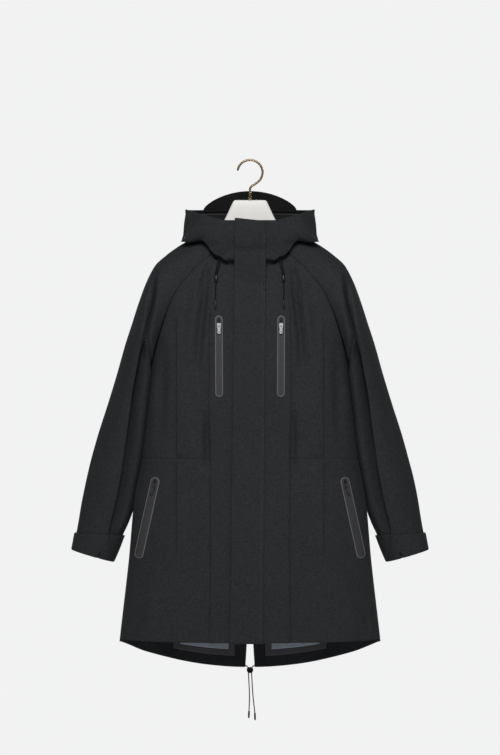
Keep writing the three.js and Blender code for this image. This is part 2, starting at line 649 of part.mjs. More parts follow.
// A point of the neck seam at a turn round it, from 0 in front to 180 behind
function neckPoint(side, turn) {
  const { frontEnds, backStarts } = NECK_TURNS;
  if (turn <= frontEnds) {
    const x = lerp(0, NECK_CORNER_X, turn / frontEnds);
    return torsoAt('front', side * x, neckFrontZ(x)).point;
  }
  if (turn >= backStarts) {
    const x = lerp(NECK_BACK_X, 0, (turn - backStarts) / (180 - backStarts));
    return torsoAt('back', side * x, NECK_BACK_Z).point;
  }
  const section = sleeveSection(side, 0);
  const share = ((turn - frontEnds) / (backStarts - frontEnds)) * SLEEVE_COLUMNS;
  const column = Math.min(Math.floor(share), SLEEVE_COLUMNS - 1);
  return section[column].clone().lerp(section[column + 1], share - column);
}

function rimZ(level, x) {
  return lerp(level.frontZ, level.sideZ, Math.min(Math.abs(x) / level.halfWidth, 1) ** RIM_ROUNDNESS);
}

// A point of one of the hood's loops
function hoodPoint(side, turn, index) {
  if (index < 0) {
    const point = neckPoint(side, turn);
    const inward = new THREE.Vector3(-point.x, -point.y, 0).normalize();
    const tucked = index === HOOD_BASE;
    point.addScaledVector(inward, tucked ? HOOD_BASE_INSET : HOOD_STAND_INSET);
    const drop = HOOD_BASE_DROP * Math.abs(Math.cos(radians(turn)));
    point.z += tucked ? -drop : HOOD_STAND_RISE;
    return point;
  }
  const level = HOOD_LEVELS[index];
  const power = 2 / level.square;
  const angle = radians(turn);
  const across = Math.sin(angle) ** power;
  const ahead = Math.abs(Math.cos(angle)) ** power;
  const front = turn <= 90;
  const x = across * level.halfWidth;
  const y = front ? -ahead * level.front : ahead * level.back;
  const endZ = front ? level.frontZ : level.backZ;
  const last = index === HOOD_LEVELS.length - 1;
  const z = front && last ? rimZ(level, x) : lerp(endZ, level.sideZ, Math.sin(angle) ** 2);
  const point = new THREE.Vector3(x, y, z);
  const wing = HOOD_WING.find((row) => row.level === index);
  if (wing) {
    const outward = new THREE.Vector3(x, y, 0).normalize();
    point.addScaledVector(outward, wing.outward * bump(turn - wing.turn, HOOD_WING_WIDTH));
  }
  point.x *= side;
  return point;
}

// The columns round the hood, from the middle of the front over the right side and back
function hoodColumns() {
  const right = HOOD_TURNS.map((turn) => ({ side: 1, turn }));
  const left = HOOD_TURNS.slice(1).map((turn) => ({ side: -1, turn })).reverse();
  return [...right, { side: 1, turn: 180 }, ...left];
}

function hoodPlaces() {
  const round = hoodColumns();
  const points = [HOOD_BASE, HOOD_STAND, ...HOOD_LEVELS.keys()].map((index) => round.map(
    ({ side, turn }) => hoodPoint(side, turn, index)));
  const count = round.length;
  return points.map((line, row) => line.map((point, column) => {
    const above = points[Math.min(row + 1, points.length - 1)][column];
    const below = points[Math.max(row - 1, 0)][column];
    const around = line[(column + 1) % count].clone().sub(line[(column + count - 1) % count]);
    const normal = around.cross(above.clone().sub(below)).normalize();
    return { point, normal };
  }));
}

function hood() {
  add('hood', clothFrom(hoodPlaces(), WALL, undefined, true), 'cloth');
}

// A piece of cloth on the inner face of the hood's back, at shares of the way between two levels
function insideHood(name, shares, material) {
  const places = hoodPlaces();
  const row = NECK_FACING.level - HOOD_BASE;
  const behind = [...hoodColumns().entries()].filter(([, { turn }]) => turn >= NECK_FACING.endTurn);
  const depth = WALL + NECK_FACING.gap + NECK_FACING.wall;
  const grid = shares.map((share) => behind.map(([column]) => {
    const [low, high] = [places[row][column], places[row + 1][column]];
    const normal = low.normal.clone().lerp(high.normal, share).normalize();
    const point = low.point.clone().lerp(high.point, share).addScaledVector(normal, -depth);
    return { point, normal: normal.negate() };
  }));
  add(name, clothFrom(grid, NECK_FACING.wall), material);
}

function hoodBrim() {
  const rim = HOOD_LEVELS[HOOD_LEVELS.length - 1];
  const xs = steps(-BRIM_HALF_WIDTH, BRIM_HALF_WIDTH, 14);
  const places = steps(0, 1, 3).map((v) => xs.map((x) => {
    const share = Math.abs(x) / rim.halfWidth;
    const y = rim.back * (1 - share ** rim.square) ** (1 / rim.square);
    const arch = (1 - (x / BRIM_HALF_WIDTH) ** 2) ** BRIM_ROUNDNESS;
    const height = BRIM_END_HEIGHT + BRIM_RISE * arch;
    const lift = rim.sideZ + (rim.backZ - rim.sideZ) * (1 - share ** 2) + BRIM_GAP;
    const normal = new THREE.Vector3(share * Math.sign(x) * 0.6, 1, 0.1).normalize();
    return { point: new THREE.Vector3(x, y - BRIM_LEAN * v * arch, lift + height * v), normal };
  }));
  add('hood_brim', clothFrom(places), 'cloth');
}

// The front of the collar at a height, which carries the flap above the neck seam
function collarY(z) {
  const base = { front: -hoodPoint(1, 0, HOOD_BASE).y, frontZ: NECK_FRONT_Z - HOOD_BASE_DROP };
  return -along([base, ...HOOD_LEVELS], 'frontZ', z, 'front');
}

function stormFlap() {
  const shares = [0, 0.06, 0.33, 0.66, 0.94, 1];
  const rows = [...steps(0, 0.11, 5), ...steps(0.14, 1, 14)];
  const places = rows.map((v) => shares.map((u) => {
    const x = lerp(lerp(FLAP_LEFT_TOP, FLAP_LEFT_HEM, v), lerp(FLAP_RIGHT_TOP, FLAP_RIGHT_HEM, v), u);
    const z = lerp(lerp(FLAP_TOP_LEFT_Z, FLAP_TOP_RIGHT_Z, u), hemFrontZ(x) - 1.5, v);
    const stand = lerp(FLAP_FREE_STAND, FLAP_SEWN_STAND, THREE.MathUtils.smoothstep(u, 0, 0.7));
    const place = torsoAt('front', x, Math.min(z, NECK_FRONT_Z), WALL + stand);
    const collar = collarY(Math.max(z, NECK_FRONT_Z)) - WALL - FLAP_COLLAR_STAND;
    place.point.z = z;
    if (z > NECK_FRONT_Z) place.point.y = Math.min(collar, place.point.y);
    return place;
  }));
  add('storm_flap', clothFrom(places), 'cloth');
}

// A zip's own frame on the panel: down runs along it, across it, and out of the cloth
function zipPlace(zip, side, distance, across, offset) {
  const start = new THREE.Vector2(zip.topX, zip.topZ);
  const end = new THREE.Vector2(zip.bottomX, zip.bottomZ);
  const down = end.clone().sub(start).normalize();
  const beside = new THREE.Vector2(-down.y, down.x);
  const x = start.x + down.x * distance + beside.x * across;
  const z = start.y + down.y * distance + beside.y * across;
  const rise = zip.kind === 'chest' ? pleatRise(x) : 0;
  return torsoAt('front', side * x, z, rise + offset);
}

const zipLength = (zip) => Math.hypot(zip.bottomX - zip.topX, zip.bottomZ - zip.topZ);

// Places round a stadium outline of a zip, as distance along and across
function stadium(length, radius) {
  const outline = [];
  for (const turn of steps(-90, 90, ZIP_ARC_STEPS)) {
    const angle = radians(turn);
    outline.push([radius - radius * Math.cos(angle), radius * Math.sin(angle)]);
  }
  const straight = steps(radius, length - radius, ZIP_SIDE_STEPS);
  straight.slice(1, -1).forEach((distance) => outline.push([distance, radius]));
  for (const turn of steps(90, -90, ZIP_ARC_STEPS)) {
    const angle = radians(turn);
    outline.push([length - radius + radius * Math.cos(angle), radius * Math.sin(angle)]);
  }
  straight.slice(1, -1).reverse().forEach((distance) => outline.push([distance, -radius]));
  return outline;
}

function zipFrame(zip, side) {
  const length = zipLength(zip);
  const radius = zip.width / 2;
  const outerRing = stadium(length, radius);
  const innerRing = stadium(length - 2 * ZIP_FRAME_BAND, radius - ZIP_FRAME_BAND);
  const rings = [outerRing, innerRing.map(([d, a]) => [d + ZIP_FRAME_BAND, a])];
  const places = rings.map((ring) => ring.map(
    ([d, a]) => zipPlace(zip, side, d, a, LAP_GAP + ZIP_FRAME_WALL)));
  const frame = clothFrom(places, ZIP_FRAME_WALL, undefined, true);
  add(`${zip.kind}_zip_frame_${sideName(side)}`, frame, 'zipFrame');
}

function zipTape(zip, side) {
  const inset = ZIP_FRAME_BAND + 2 * LAP_GAP;
  const length = zipLength(zip) - 2 * inset;
  const half = zip.width / 2 - inset;
  const places = steps(0, 1, 8).map((v) => {
    const distance = v * length;
    const toEnd = Math.min(distance, length - distance, half);
    const width = Math.max(Math.sqrt(half ** 2 - (half - toEnd) ** 2), half * 0.5);
    return steps(-width, width, 2).map((across) => zipPlace(
      zip, side, distance + inset, across, LAP_GAP + ZIP_TAPE_WALL));
  });
  add(`${zip.kind}_zip_tape_${sideName(side)}`, clothFrom(places, ZIP_TAPE_WALL), 'zipTape');
}

// The upright frame of a slider: x across, y out of the cloth, z up along the zip
function sliderFrame(zip, side) {
  const lift = LAP_GAP + ZIP_TAPE_WALL + SLIDER_STAND;
  const near = (distance, across) => zipPlace(zip, side, zip.sliderAt + distance, across, lift).point;
  const up = near(-8, 0).sub(near(8, 0)).normalize();
  const across = near(0, 4).sub(near(0, -4));
  if (across.x > 0) across.negate();
  const out = up.clone().cross(across).normalize();
  const place = new THREE.Matrix4().makeBasis(out.clone().cross(up), out, up);
  return place.setPosition(near(0, 0));
}

// A side view in the up and out plane, pushed across by its width
function pushedAcross(outline, width) {
  const shape = new THREE.Shape(outline.map(([up, out]) => new THREE.Vector2(up, out)));
  const geometry = new THREE.ExtrudeGeometry(shape, { depth: width, bevelEnabled: false });
  geometry.translate(0, 0, -width / 2);
  const turned = new THREE.Matrix4().makeBasis(
    new THREE.Vector3(0, 0, 1), new THREE.Vector3(0, 1, 0), new THREE.Vector3(-1, 0, 0));
  return geometry.applyMatrix4(turned);
}

function toManifold(geometry) {
  const plain = new THREE.BufferGeometry();
  plain.setAttribute('position', geometry.getAttribute('position').clone());
  if (geometry.index) plain.setIndex(geometry.index.clone());
  const merged = mergeVertices(plain, 1e-4);
  const vertProperties = new Float32Array(merged.getAttribute('position').array);
  const triVerts = new Uint32Array(merged.index.array);
  return new wasm.Manifold(new wasm.Mesh({ numProp: 3, vertProperties, triVerts }));
}

function fromManifold(manifold) {
  const { vertProperties, triVerts } = manifold.getMesh();
  const geometry = new THREE.BufferGeometry();
  geometry.setAttribute('position', new THREE.Float32BufferAttribute(vertProperties, 3));
  geometry.setIndex(Array.from(triVerts));
  return geometry;
}

// The slider: its body, and the bridge that holds the pull's bar
function slider(zip, side) {
  const half = SLIDER.length / 2;
  const height = SLIDER.height;
  const leg = BRIDGE.innerHalf + BRIDGE.bar;
  const inside = PIVOT_HEIGHT + BRIDGE.innerHalf;
  const top = PIVOT_HEIGHT + leg;
  const sunk = height - SLIDER.chamfer;
  const body = pushedAcross([[-half, 0], [half, 0], [half, sunk], [half - SLIDER.chamfer, height],
    [-half + SLIDER.chamfer, height], [-half, sunk]], SLIDER.width);
  const bridge = pushedAcross([[-leg, sunk], [-BRIDGE.innerHalf, sunk], [-BRIDGE.innerHalf, inside],
    [BRIDGE.innerHalf, inside], [BRIDGE.innerHalf, sunk], [leg, sunk], [leg, top - SLIDER.chamfer],
    [leg - SLIDER.chamfer, top], [-leg + SLIDER.chamfer, top], [-leg, top - SLIDER.chamfer]], BRIDGE.width);
  const joined = fromManifold(toManifold(body).add(toManifold(bridge)));
  add(`${zip.kind}_zip_slider_${sideName(side)}`, joined, 'slider', sliderFrame(zip, side));
}

// The pull tab: a bar held in the bridge, an eye below it and a tab with a square window
function pull(zip, side) {
  const half = PULL.width / 2;
  const bar = PULL.thickness / 2;
  const end = -PULL.length;
  const corner = PULL.corner;
  const outline = [[-half, bar], [half, bar], [half, end + corner], [half - corner, end],
    [-half + corner, end], [-half, end + corner]];
  const eyeHalf = half - PULL.arm;
  const eye = [[-eyeHalf, -bar], [-eyeHalf, -PULL.eye], [eyeHalf, -PULL.eye], [eyeHalf, -bar]];
  const windowEnd = end + PULL_WINDOW.above;
  const windowTop = windowEnd + PULL_WINDOW.size;
  const windowHalf = PULL_WINDOW.size / 2;
  const window = [[-windowHalf, windowTop], [-windowHalf, windowEnd],
    [windowHalf, windowEnd], [windowHalf, windowTop]];
  const toVectors = (points) => points.map(([x, z]) => new THREE.Vector2(x, -z));
  const shape = new THREE.Shape(toVectors(outline));
  shape.holes = [new THREE.Path(toVectors(eye)), new THREE.Path(toVectors(window))];
  const geometry = new THREE.ExtrudeGeometry(shape, { depth: PULL.thickness, bevelEnabled: false });
  geometry.rotateX(-Math.PI / 2);
  geometry.translate(0, PIVOT_HEIGHT - bar, 0);
  add(`${zip.kind}_zip_pull_${sideName(side)}`, geometry, 'slider', sliderFrame(zip, side));
}

// A cord: a tube of a round section along a smooth curve through a few points
function cord(name, points, stepCount) {
  const path = new THREE.CatmullRomCurve3(points, false, 'centripetal');
  const section = new THREE.Shape();
  steps(0, 2 * Math.PI, CORD_SIDES).slice(0, -1).forEach((turn, index) => {
    const x = CORD_RADIUS * Math.cos(turn);
    const y = CORD_RADIUS * Math.sin(turn);
    if (index === 0) section.moveTo(x, y);
    else section.lineTo(x, y);
  });
  section.closePath();
  add(name, new THREE.ExtrudeGeometry(section, { steps: stepCount, extrudePath: path }), 'cord');
}

// A turned piece along a straight line, from a profile of distance along and radius
function turned(name, profile, top, bottom, material, sides = 12) {
  const points = profile.map(([distance, radius]) => new THREE.Vector2(radius, -distance));
  const geometry = new THREE.LatheGeometry(points, sides);
  const down = bottom.clone().sub(top).normalize();
  const turn = new THREE.Quaternion().setFromUnitVectors(new THREE.Vector3(0, -1, 0), down);
  const place = new THREE.Matrix4().compose(top, turn, new THREE.Vector3(1, 1, 1));
  add(name, mergedLathe(geometry), material, place);
}

// A lathe's geometry with its start and end seams joined
function mergedLathe(geometry) {
  geometry.deleteAttribute('normal');
  geometry.deleteAttribute('uv');
  const merged = mergeVertices(geometry, 1e-4);
  const kept = [];
  for (let i = 0; i < merged.index.count; i += 3) {
    const [a, b, c] = [0, 1, 2].map((offset) => merged.index.getX(i + offset));
    if (a !== b && b !== c && c !== a) kept.push(a, b, c);
  }
  return solid(Array.from(merged.getAttribute('position').array), kept);
}

// A point in front of the chest, clear of the cloth by a distance
function inFront(x, z, clear) {
  const place = torsoAt('front', x, z, pleatRise(x));
  return new THREE.Vector3(place.point.x, place.point.y - clear, z);
}

// The drawcords at the neck: two strands into a bead and one on to its aglet
function neckCords(side) {
  const name = sideName(side);
  const way = NECK_CORD[name];
  const clear = CORD_CLEARANCE + CORD_RADIUS;
  const beadTop = inFront(side * way.beadX, BEAD_TOP_Z, BEAD_RADIUS + BEAD_STAND);
  const beadEnd = inFront(side * way.beadX, BEAD_TOP_Z - BEAD_LENGTH, BEAD_RADIUS + BEAD_STAND);
  const tailEnd = inFront(side * way.endX, AGLET_TOP_Z, clear);
  const down = tailEnd.clone().sub(beadEnd).normalize();
  const out = eyelet(side);
  ['inner', 'outer'].forEach((strand, index) => {
    const apart = (index === 0 ? -1 : 1) * NECK_STRAND_HALF;
    const exit = out.clone().add(new THREE.Vector3(side * apart, 0, 0));
    const splitX = way.splitX + STRAND_SPREAD * apart;
    const split = inFront(side * splitX, lerp(out.z, BEAD_TOP_Z, 0.5), clear + STRAND_CLEARANCE);
    const enter = beadTop.clone().add(new THREE.Vector3(side * apart, 0, BEAD_CLEARANCE));
    const above = enter.clone().add(new THREE.Vector3(0, 0, 3 * CORD_RADIUS));
    cord(`neck_cord_${name}_${strand}`, [exit, split, above, enter], 8);
  });
  turned(`bead_${name}`, [[0, 0], [0, 3], [2, BEAD_RADIUS], [BEAD_LENGTH - 2, BEAD_RADIUS],
    [BEAD_LENGTH, 2.6], [BEAD_LENGTH, 0]], beadTop, beadEnd, 'fitting');
  const start = beadEnd.clone().add(new THREE.Vector3(0, 0, -BEAD_CLEARANCE));
  const middle = start.clone().lerp(tailEnd, 0.5).add(new THREE.Vector3(side * 0.8, -0.5, 0));
  cord(`neck_cord_${name}_tail`, [start, middle, tailEnd], 10);
  const agletTop = tailEnd.clone().addScaledVector(down, SEAM_GAP);
  const agletEnd = tailEnd.clone().addScaledVector(down, AGLET_LENGTH);
  turned(`aglet_${name}`, [[0, 0], [0, 1.7], [1.5, AGLET_RADIUS], [AGLET_LENGTH - 4, AGLET_RADIUS],
    [AGLET_LENGTH, 1.2], [AGLET_LENGTH, 0]], agletTop, agletEnd, 'fitting', 10);
}

// The eyelet on the collar's front, under the wing of the hood. Returns where the strands leave it.
function eyelet(side) {
  const low = hoodPoint(side, EYELET_TURN, HOOD_STAND);
  const high = hoodPoint(side, EYELET_TURN, 0);
  const beside = hoodPoint(side, EYELET_TURN + 4, HOOD_STAND);
  const normal = beside.sub(low).cross(high.clone().sub(low)).normalize().multiplyScalar(side);
  const back = low.clone().lerp(high, EYELET_SHARE).addScaledVector(normal, EYELET_STAND);
  const front = back.clone().addScaledVector(normal, EYELET_THICKNESS);
  turned(`eyelet_${sideName(side)}`, [[0, 0], [0, EYELET_RADIUS], [1, EYELET_RADIUS],
    [EYELET_THICKNESS, EYELET_RADIUS - 1], [EYELET_THICKNESS, 0]], back, front, 'fitting');
  return front.addScaledVector(normal, CORD_RADIUS + SEAM_GAP);
}

// The hem cord: from each corner of the vent into the toggle, and two free ends below it
function hemCords() {
  const centre = new THREE.Vector3(0, HEM_CORD.y, TOGGLE_Z);
  const front = centre.clone().add(new THREE.Vector3(0, -TOGGLE_HALF_DEPTH, 0));
  const behind = centre.clone().add(new THREE.Vector3(0, TOGGLE_HALF_DEPTH, 0));
  const depth = 2 * TOGGLE_HALF_DEPTH;
  turned('toggle', [[0, 0], [0, TOGGLE_RADIUS - 2], [2, TOGGLE_RADIUS], [depth - 2, TOGGLE_RADIUS],
    [depth, TOGGLE_RADIUS - 2], [depth, 0]], front, behind, 'fitting', 16);
  const atToggle = (x) => Math.sqrt((TOGGLE_RADIUS + SEAM_GAP) ** 2 - x ** 2);
  for (const way of HEM_CORDS) {
    const at = (x, z) => new THREE.Vector3(way.side * x, HEM_CORD.y, z);
    const enter = at(HEM_CORD.enterX, TOGGLE_Z + atToggle(HEM_CORD.enterX));
    cord(`hem_cord_${way.name}_top`, [at(HEM_CORD.topX, HEM_CORD.topZ), enter], 3);
    const leave = at(HEM_CORD.leaveX, TOGGLE_Z - atToggle(HEM_CORD.leaveX) - SEAM_GAP);
    const end = at(way.endX, way.tipZ);
    const middle = at(way.midX, lerp(leave.z, way.tipZ, 0.6));
    cord(`hem_cord_${way.name}_tail`, [leave, middle, end], 9);
    const tip = at(way.endX + 0.6, way.endZ);
    const length = end.distanceTo(tip) - SEAM_GAP;
    const top = end.clone().lerp(tip, SEAM_GAP / end.distanceTo(tip));
    turned(`hem_tip_${way.name}`, [[0, 0], [0, 1.7], [1.5, AGLET_RADIUS], [length - 3, AGLET_RADIUS],
      [length, 1.3], [length, 0]], top, tip, 'fitting', 10);
  }
}

// A piece of cloth on the inner face of the back, made from the back's own places
function insideBack(side, rows, columns, keep, inset) {
  const places = backPlaces();
  const firstHemRow = places.length - BACK_HEM_SHARES.length;
  const middle = BACK_COLUMNS.length;
  const grid = rows.map((row) => columns.map((column) => {
    const across = side < 0 ? middle - 1 - column : middle + 2 + column;
    const { point, normal } = places[firstHemRow + row - 1][across];
    const depth = WALL + LINING.gap + LINING.wall;
    return { point: point.clone().addScaledVector(normal, -depth), normal: normal.clone().negate() };
  }));
  if (inset > 0) insetEdges(grid, inset);
  return clothFrom(grid, LINING.wall, keep);
}

// Draws the edge points of a grid of places in by a distance
function insetEdges(grid, distance) {
  const draw = (place, towards) => {
    const way = towards.point.clone().sub(place.point).normalize();
    place.point.addScaledVector(way, distance);
  };
  const lastColumn = grid[0].length - 1;
  const lastRow = grid.length - 1;
  for (const line of grid) {
    draw(line[0], line[1]);
    draw(line[lastColumn], line[lastColumn - 1]);
  }
  grid[lastRow].forEach((place, column) => draw(place, grid[lastRow - 1][column]));
}

// The lining's window and the seam tape below it and beside it, inside the back hem
function liningAndTape(side) {
  const name = sideName(side);
  const whole = () => true;
  add(`lining_${name}`, insideBack(side, LINING_ROWS, LINING_COLUMNS, whole, LINING.seam), 'lining');
  const lastColumn = TAPE_COLUMNS.length - 2;
  const round = (row, column) => row === TAPE_ROWS.length - 2 || column === 0 || column === lastColumn;
  add(`hem_tape_${name}`, insideBack(side, TAPE_ROWS, TAPE_COLUMNS, round, 0), 'seamTape');
}

// The hanger's body: oval sections lofted from the end of one arm to the other
function hangerBody() {
  const half = HANGER.slice(1);
  const stations = [...half.map((row) => ({ ...row, x: -row.x })).reverse(), HANGER[0], ...half];
  const positions = [];
  const triangles = [];
  for (const row of stations) {
    for (let side = 0; side < HANGER_SIDES; side += 1) {
      const turn = (2 * Math.PI * side) / HANGER_SIDES;
      const out = Math.sign(Math.cos(turn)) * Math.abs(Math.cos(turn)) ** 0.8 * row.halfDepth;
      const up = (row.top + row.bottom) / 2 + ((row.top - row.bottom) / 2) * Math.sin(turn);
      positions.push(row.x, out, up);
    }
  }
  for (let i = 0; i < stations.length - 1; i += 1) {
    for (let side = 0; side < HANGER_SIDES; side += 1) {
      const next = (side + 1) % HANGER_SIDES;
      const [a, b] = [i * HANGER_SIDES + side, i * HANGER_SIDES + next];
      const [c, d] = [b + HANGER_SIDES, a + HANGER_SIDES];
      triangles.push(a, b, c, a, c, d);
    }
  }
  const last = (stations.length - 1) * HANGER_SIDES;
  for (let side = 1; side < HANGER_SIDES - 1; side += 1) {
    triangles.push(0, side + 1, side, last, last + side, last + side + 1);
  }
  add('hanger_body', solid(positions, triangles), 'hanger');
}

// The hook's wire: round the peg from its tip, then in to the shaft above the body
function hangerHook() {
  const points = [];
  for (const turn of [HOOK_TIP_TURN, 150, 125, 100, 75, 50, 25, 0]) {
    const angle = radians(turn);
    points.push(new THREE.Vector3(
      HOOK_RADIUS * Math.cos(angle), 0, HOOK_CENTRE_Z + HOOK_RADIUS * Math.sin(angle)));
  }
  for (const [x, z] of HOOK_NECK) points.push(new THREE.Vector3(x, 0, z));
  const path = new THREE.CatmullRomCurve3(points, false, 'centripetal');
  const section = new THREE.Shape(steps(0, 2 * Math.PI, HOOK_SIDES).slice(0, -1).map(
    (turn) => new THREE.Vector2(HOOK_WIRE * Math.cos(turn), HOOK_WIRE * Math.sin(turn))));
  add('hanger_hook', new THREE.ExtrudeGeometry(section, { steps: HOOK_STEPS, extrudePath: path }), 'hook');
  const shaftTop = new THREE.Vector3(0, 0, SHAFT_TOP_Z - SEAM_GAP);
  const shaftEnd = new THREE.Vector3(0, 0, HANGER[0].top + SEAM_GAP);
  const length = shaftTop.z - shaftEnd.z;
  const profile = [[0, 0], [0, SHAFT_RADIUS], [length - 3, SHAFT_RADIUS], [length - 3, COLLAR_RADIUS],
    [length, COLLAR_RADIUS], [length, 0]];
  turned('hanger_shaft', profile, shaftTop, shaftEnd, 'shaft', 14);
}

hangerBody();
hangerHook();
backPanel();
for (const side of [-1, 1]) {
  frontCentrePanel(side);
  frontSidePanels(side);
  sleeve(side);
  liningAndTape(side);
  neckCords(side);
  for (const zip of ZIPS) {
    zipFrame(zip, side);
    zipTape(zip, side);
    slider(zip, side);
    pull(zip, side);
  }
}
stormFlap();
hood();
hoodBrim();
insideHood('neck_band', NECK_BAND_SHARES, 'cloth');
insideHood('neck_lining', NECK_LINING_SHARES, 'lining');
hemCords();

export default group;
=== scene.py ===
# Looks of the hooded parka: thin cloth on the part's own forms, with its seams, zips, cords and hanger.
# Metres, +Z up, the front faces -Y. Left is -X and right is +X, as seen from the front.
import functools
import math

import bpy
import numpy as np
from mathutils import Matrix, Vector


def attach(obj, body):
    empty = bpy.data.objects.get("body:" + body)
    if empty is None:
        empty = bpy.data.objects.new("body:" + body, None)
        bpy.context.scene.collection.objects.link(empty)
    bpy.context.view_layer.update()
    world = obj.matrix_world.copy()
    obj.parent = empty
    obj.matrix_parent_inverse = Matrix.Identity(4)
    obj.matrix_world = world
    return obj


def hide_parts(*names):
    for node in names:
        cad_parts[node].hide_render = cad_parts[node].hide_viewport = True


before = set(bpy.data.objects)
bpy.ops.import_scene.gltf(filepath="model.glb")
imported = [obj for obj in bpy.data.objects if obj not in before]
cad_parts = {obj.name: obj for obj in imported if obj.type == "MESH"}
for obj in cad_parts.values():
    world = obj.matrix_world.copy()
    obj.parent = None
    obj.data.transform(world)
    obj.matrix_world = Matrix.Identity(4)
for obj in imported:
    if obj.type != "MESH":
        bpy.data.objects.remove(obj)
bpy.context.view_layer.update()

# Cloth
CLOTH = 0.0014
ROUNDNESS = 2.6
SEAM_GAP = 0.0003
SEAM_DIP = 0.0007
SEAM_WIDTH = 0.0017

# Heights of the main lines on the body
NECK_FRONT_Z = -0.239
NECK_CORNER_Z = -0.212
NECK_BACK_Z = -0.170
ARMPIT_Z = -0.461
WAIST_Z = -0.668
HEM_FRONT_Z = -1.077
HEM_SIDE_Z = -1.073
HEM_BACK_Z = -1.146
HEM_HALF = 0.293

# Places across the body
NECK_LEVEL_X = 0.034
NECK_CORNER_X = 0.088
NECK_BACK_X = 0.062
PLEAT_X = 0.090
PLEAT_UNDER_X = 0.078
PLEAT_RISE = 0.0028
PLEAT_SINK = 0.0017
ZIP_FACET_X = 0.056
ZIP_FACET_END_X = 0.081
TUCK_X = 0.162
TUCK_EDGE = 0.0014
TUCK_PROUD = 0.0040
TUCK_SUNK = 0.0028
TUCK_WIDTH = 0.018
TUCK_SUNK_WIDTH = 0.014
SIDE_TURN = math.pi / 2 - 0.0002
PLEAT_STARTS = (0.29, 0.35)
PLEAT_BLEND = 0.0040


def table(columns, *rows):
    """Rows of numbers as named columns."""
    return dict(zip(columns.split(), np.array(rows, dtype=float).T))


TORSO = table(
    "z half_width front back",
    (-0.150, 0.232, 0.034, 0.038),
    (-0.212, 0.234, 0.043, 0.046),
    (-0.240, 0.235, 0.049, 0.050),
    (-0.300, 0.232, 0.060, 0.058),
    (-0.380, 0.226, 0.070, 0.066),
    (-0.461, 0.221, 0.077, 0.072),
    (-0.560, 0.231, 0.081, 0.075),
    (-0.668, 0.243, 0.082, 0.077),
    (-0.760, 0.260, 0.087, 0.082),
    (-0.900, 0.273, 0.094, 0.089),
    (-1.075, 0.293, 0.101, 0.097),
    (-1.160, 0.301, 0.104, 0.100),
)

# The raglan seam on the front and on the back, and the arm's sections from the neck to the wrist
RAGLAN = table(
    "front_x front_z back_x back_z",
    (0.088, -0.212, 0.062, -0.170),
    (0.107, -0.228, 0.084, -0.196),
    (0.125, -0.244, 0.104, -0.221),
    (0.140, -0.261, 0.124, -0.248),
    (0.154, -0.278, 0.143, -0.278),
    (0.172, -0.308, 0.163, -0.314),
    (0.188, -0.346, 0.183, -0.354),
    (0.201, -0.386, 0.200, -0.394),
    (0.212, -0.423, 0.212, -0.429),
    (0.221, -0.461, 0.221, -0.461),
)
ARM = table(
    "row front_z back_z inner_x outer_x outer_z closed half_depth behind",
    (0, -0.212, -0.170, 0.0883, 0.080, -0.150, 0, 0.062, 0),
    (1, -0.228, -0.196, 0.1073, 0.104, -0.161, 0, 0.062, 0),
    (2, -0.244, -0.221, 0.1253, 0.132, -0.176, 0.02, 0.062, 0),
    (3, -0.261, -0.248, 0.1404, 0.160, -0.192, 0.05, 0.062, 0),
    (4, -0.278, -0.278, 0.1544, 0.188, -0.212, 0.1, 0.062, 0),
    (5, -0.308, -0.314, 0.1725, 0.212, -0.234, 0.2, 0.062, 0),
    (6, -0.346, -0.354, 0.1887, 0.232, -0.270, 0.35, 0.062, 0),
    (7, -0.386, -0.394, 0.2020, 0.250, -0.318, 0.55, 0.062, 0),
    (8, -0.423, -0.429, 0.2133, 0.266, -0.368, 0.8, 0.062, 0),
    (9, -0.461, -0.461, 0.2225, 0.281, -0.416, 1, 0.062, 0),
    (10, -0.515, -0.515, 0.2285, 0.299, -0.480, 1, 0.060, 0.007),
    (11, -0.575, -0.575, 0.235, 0.319, -0.546, 1, 0.058, 0.011),
    (12, -0.640, -0.640, 0.243, 0.342, -0.618, 1, 0.056, 0.013),
    (13, -0.708, -0.708, 0.252, 0.362, -0.692, 1, 0.054, 0.014),
    (14, -0.768, -0.768, 0.264, 0.377, -0.760, 1, 0.051, 0.014),
    (15, -0.812, -0.812, 0.276, 0.385, -0.806, 1, 0.048, 0.013),
    (16, -0.842, -0.842, 0.287, 0.391, -0.838, 1, 0.046, 0.012),
    (17, -0.872, -0.872, 0.298, 0.395, -0.858, 1, 0.045, 0.011),
    (18, -0.900, -0.900, 0.309, 0.399, -0.874, 1, 0.044, 0.010),
)
ARMPIT_ROW = 9
CUFF_ROW = 16
LAST_ROW = 18
ARMPIT_GAP = 0.0012
UNDERARM_GAP = 0.0002
CUFF_NOTCH_TURN = 36
CUFF_NOTCH_HALF = 1.3
CUFF_NOTCH_SHARE = 0.72

# Where the sleeve's form eases away from its seam, and where it leans against the body's side
ARM_EASE = (3, 24)
ARM_CLEARANCE = 0.0014
ARM_HUG = table(
    "turn inward width",
    (24, 0.006, 16),
    (150, 0.012, 26),
)
ARM_HUG_STARTS = (7.4, 8.9)
ARM_HUG_FADES = (14.5, 16.5)
ARM_LEAVES = (13, 15)

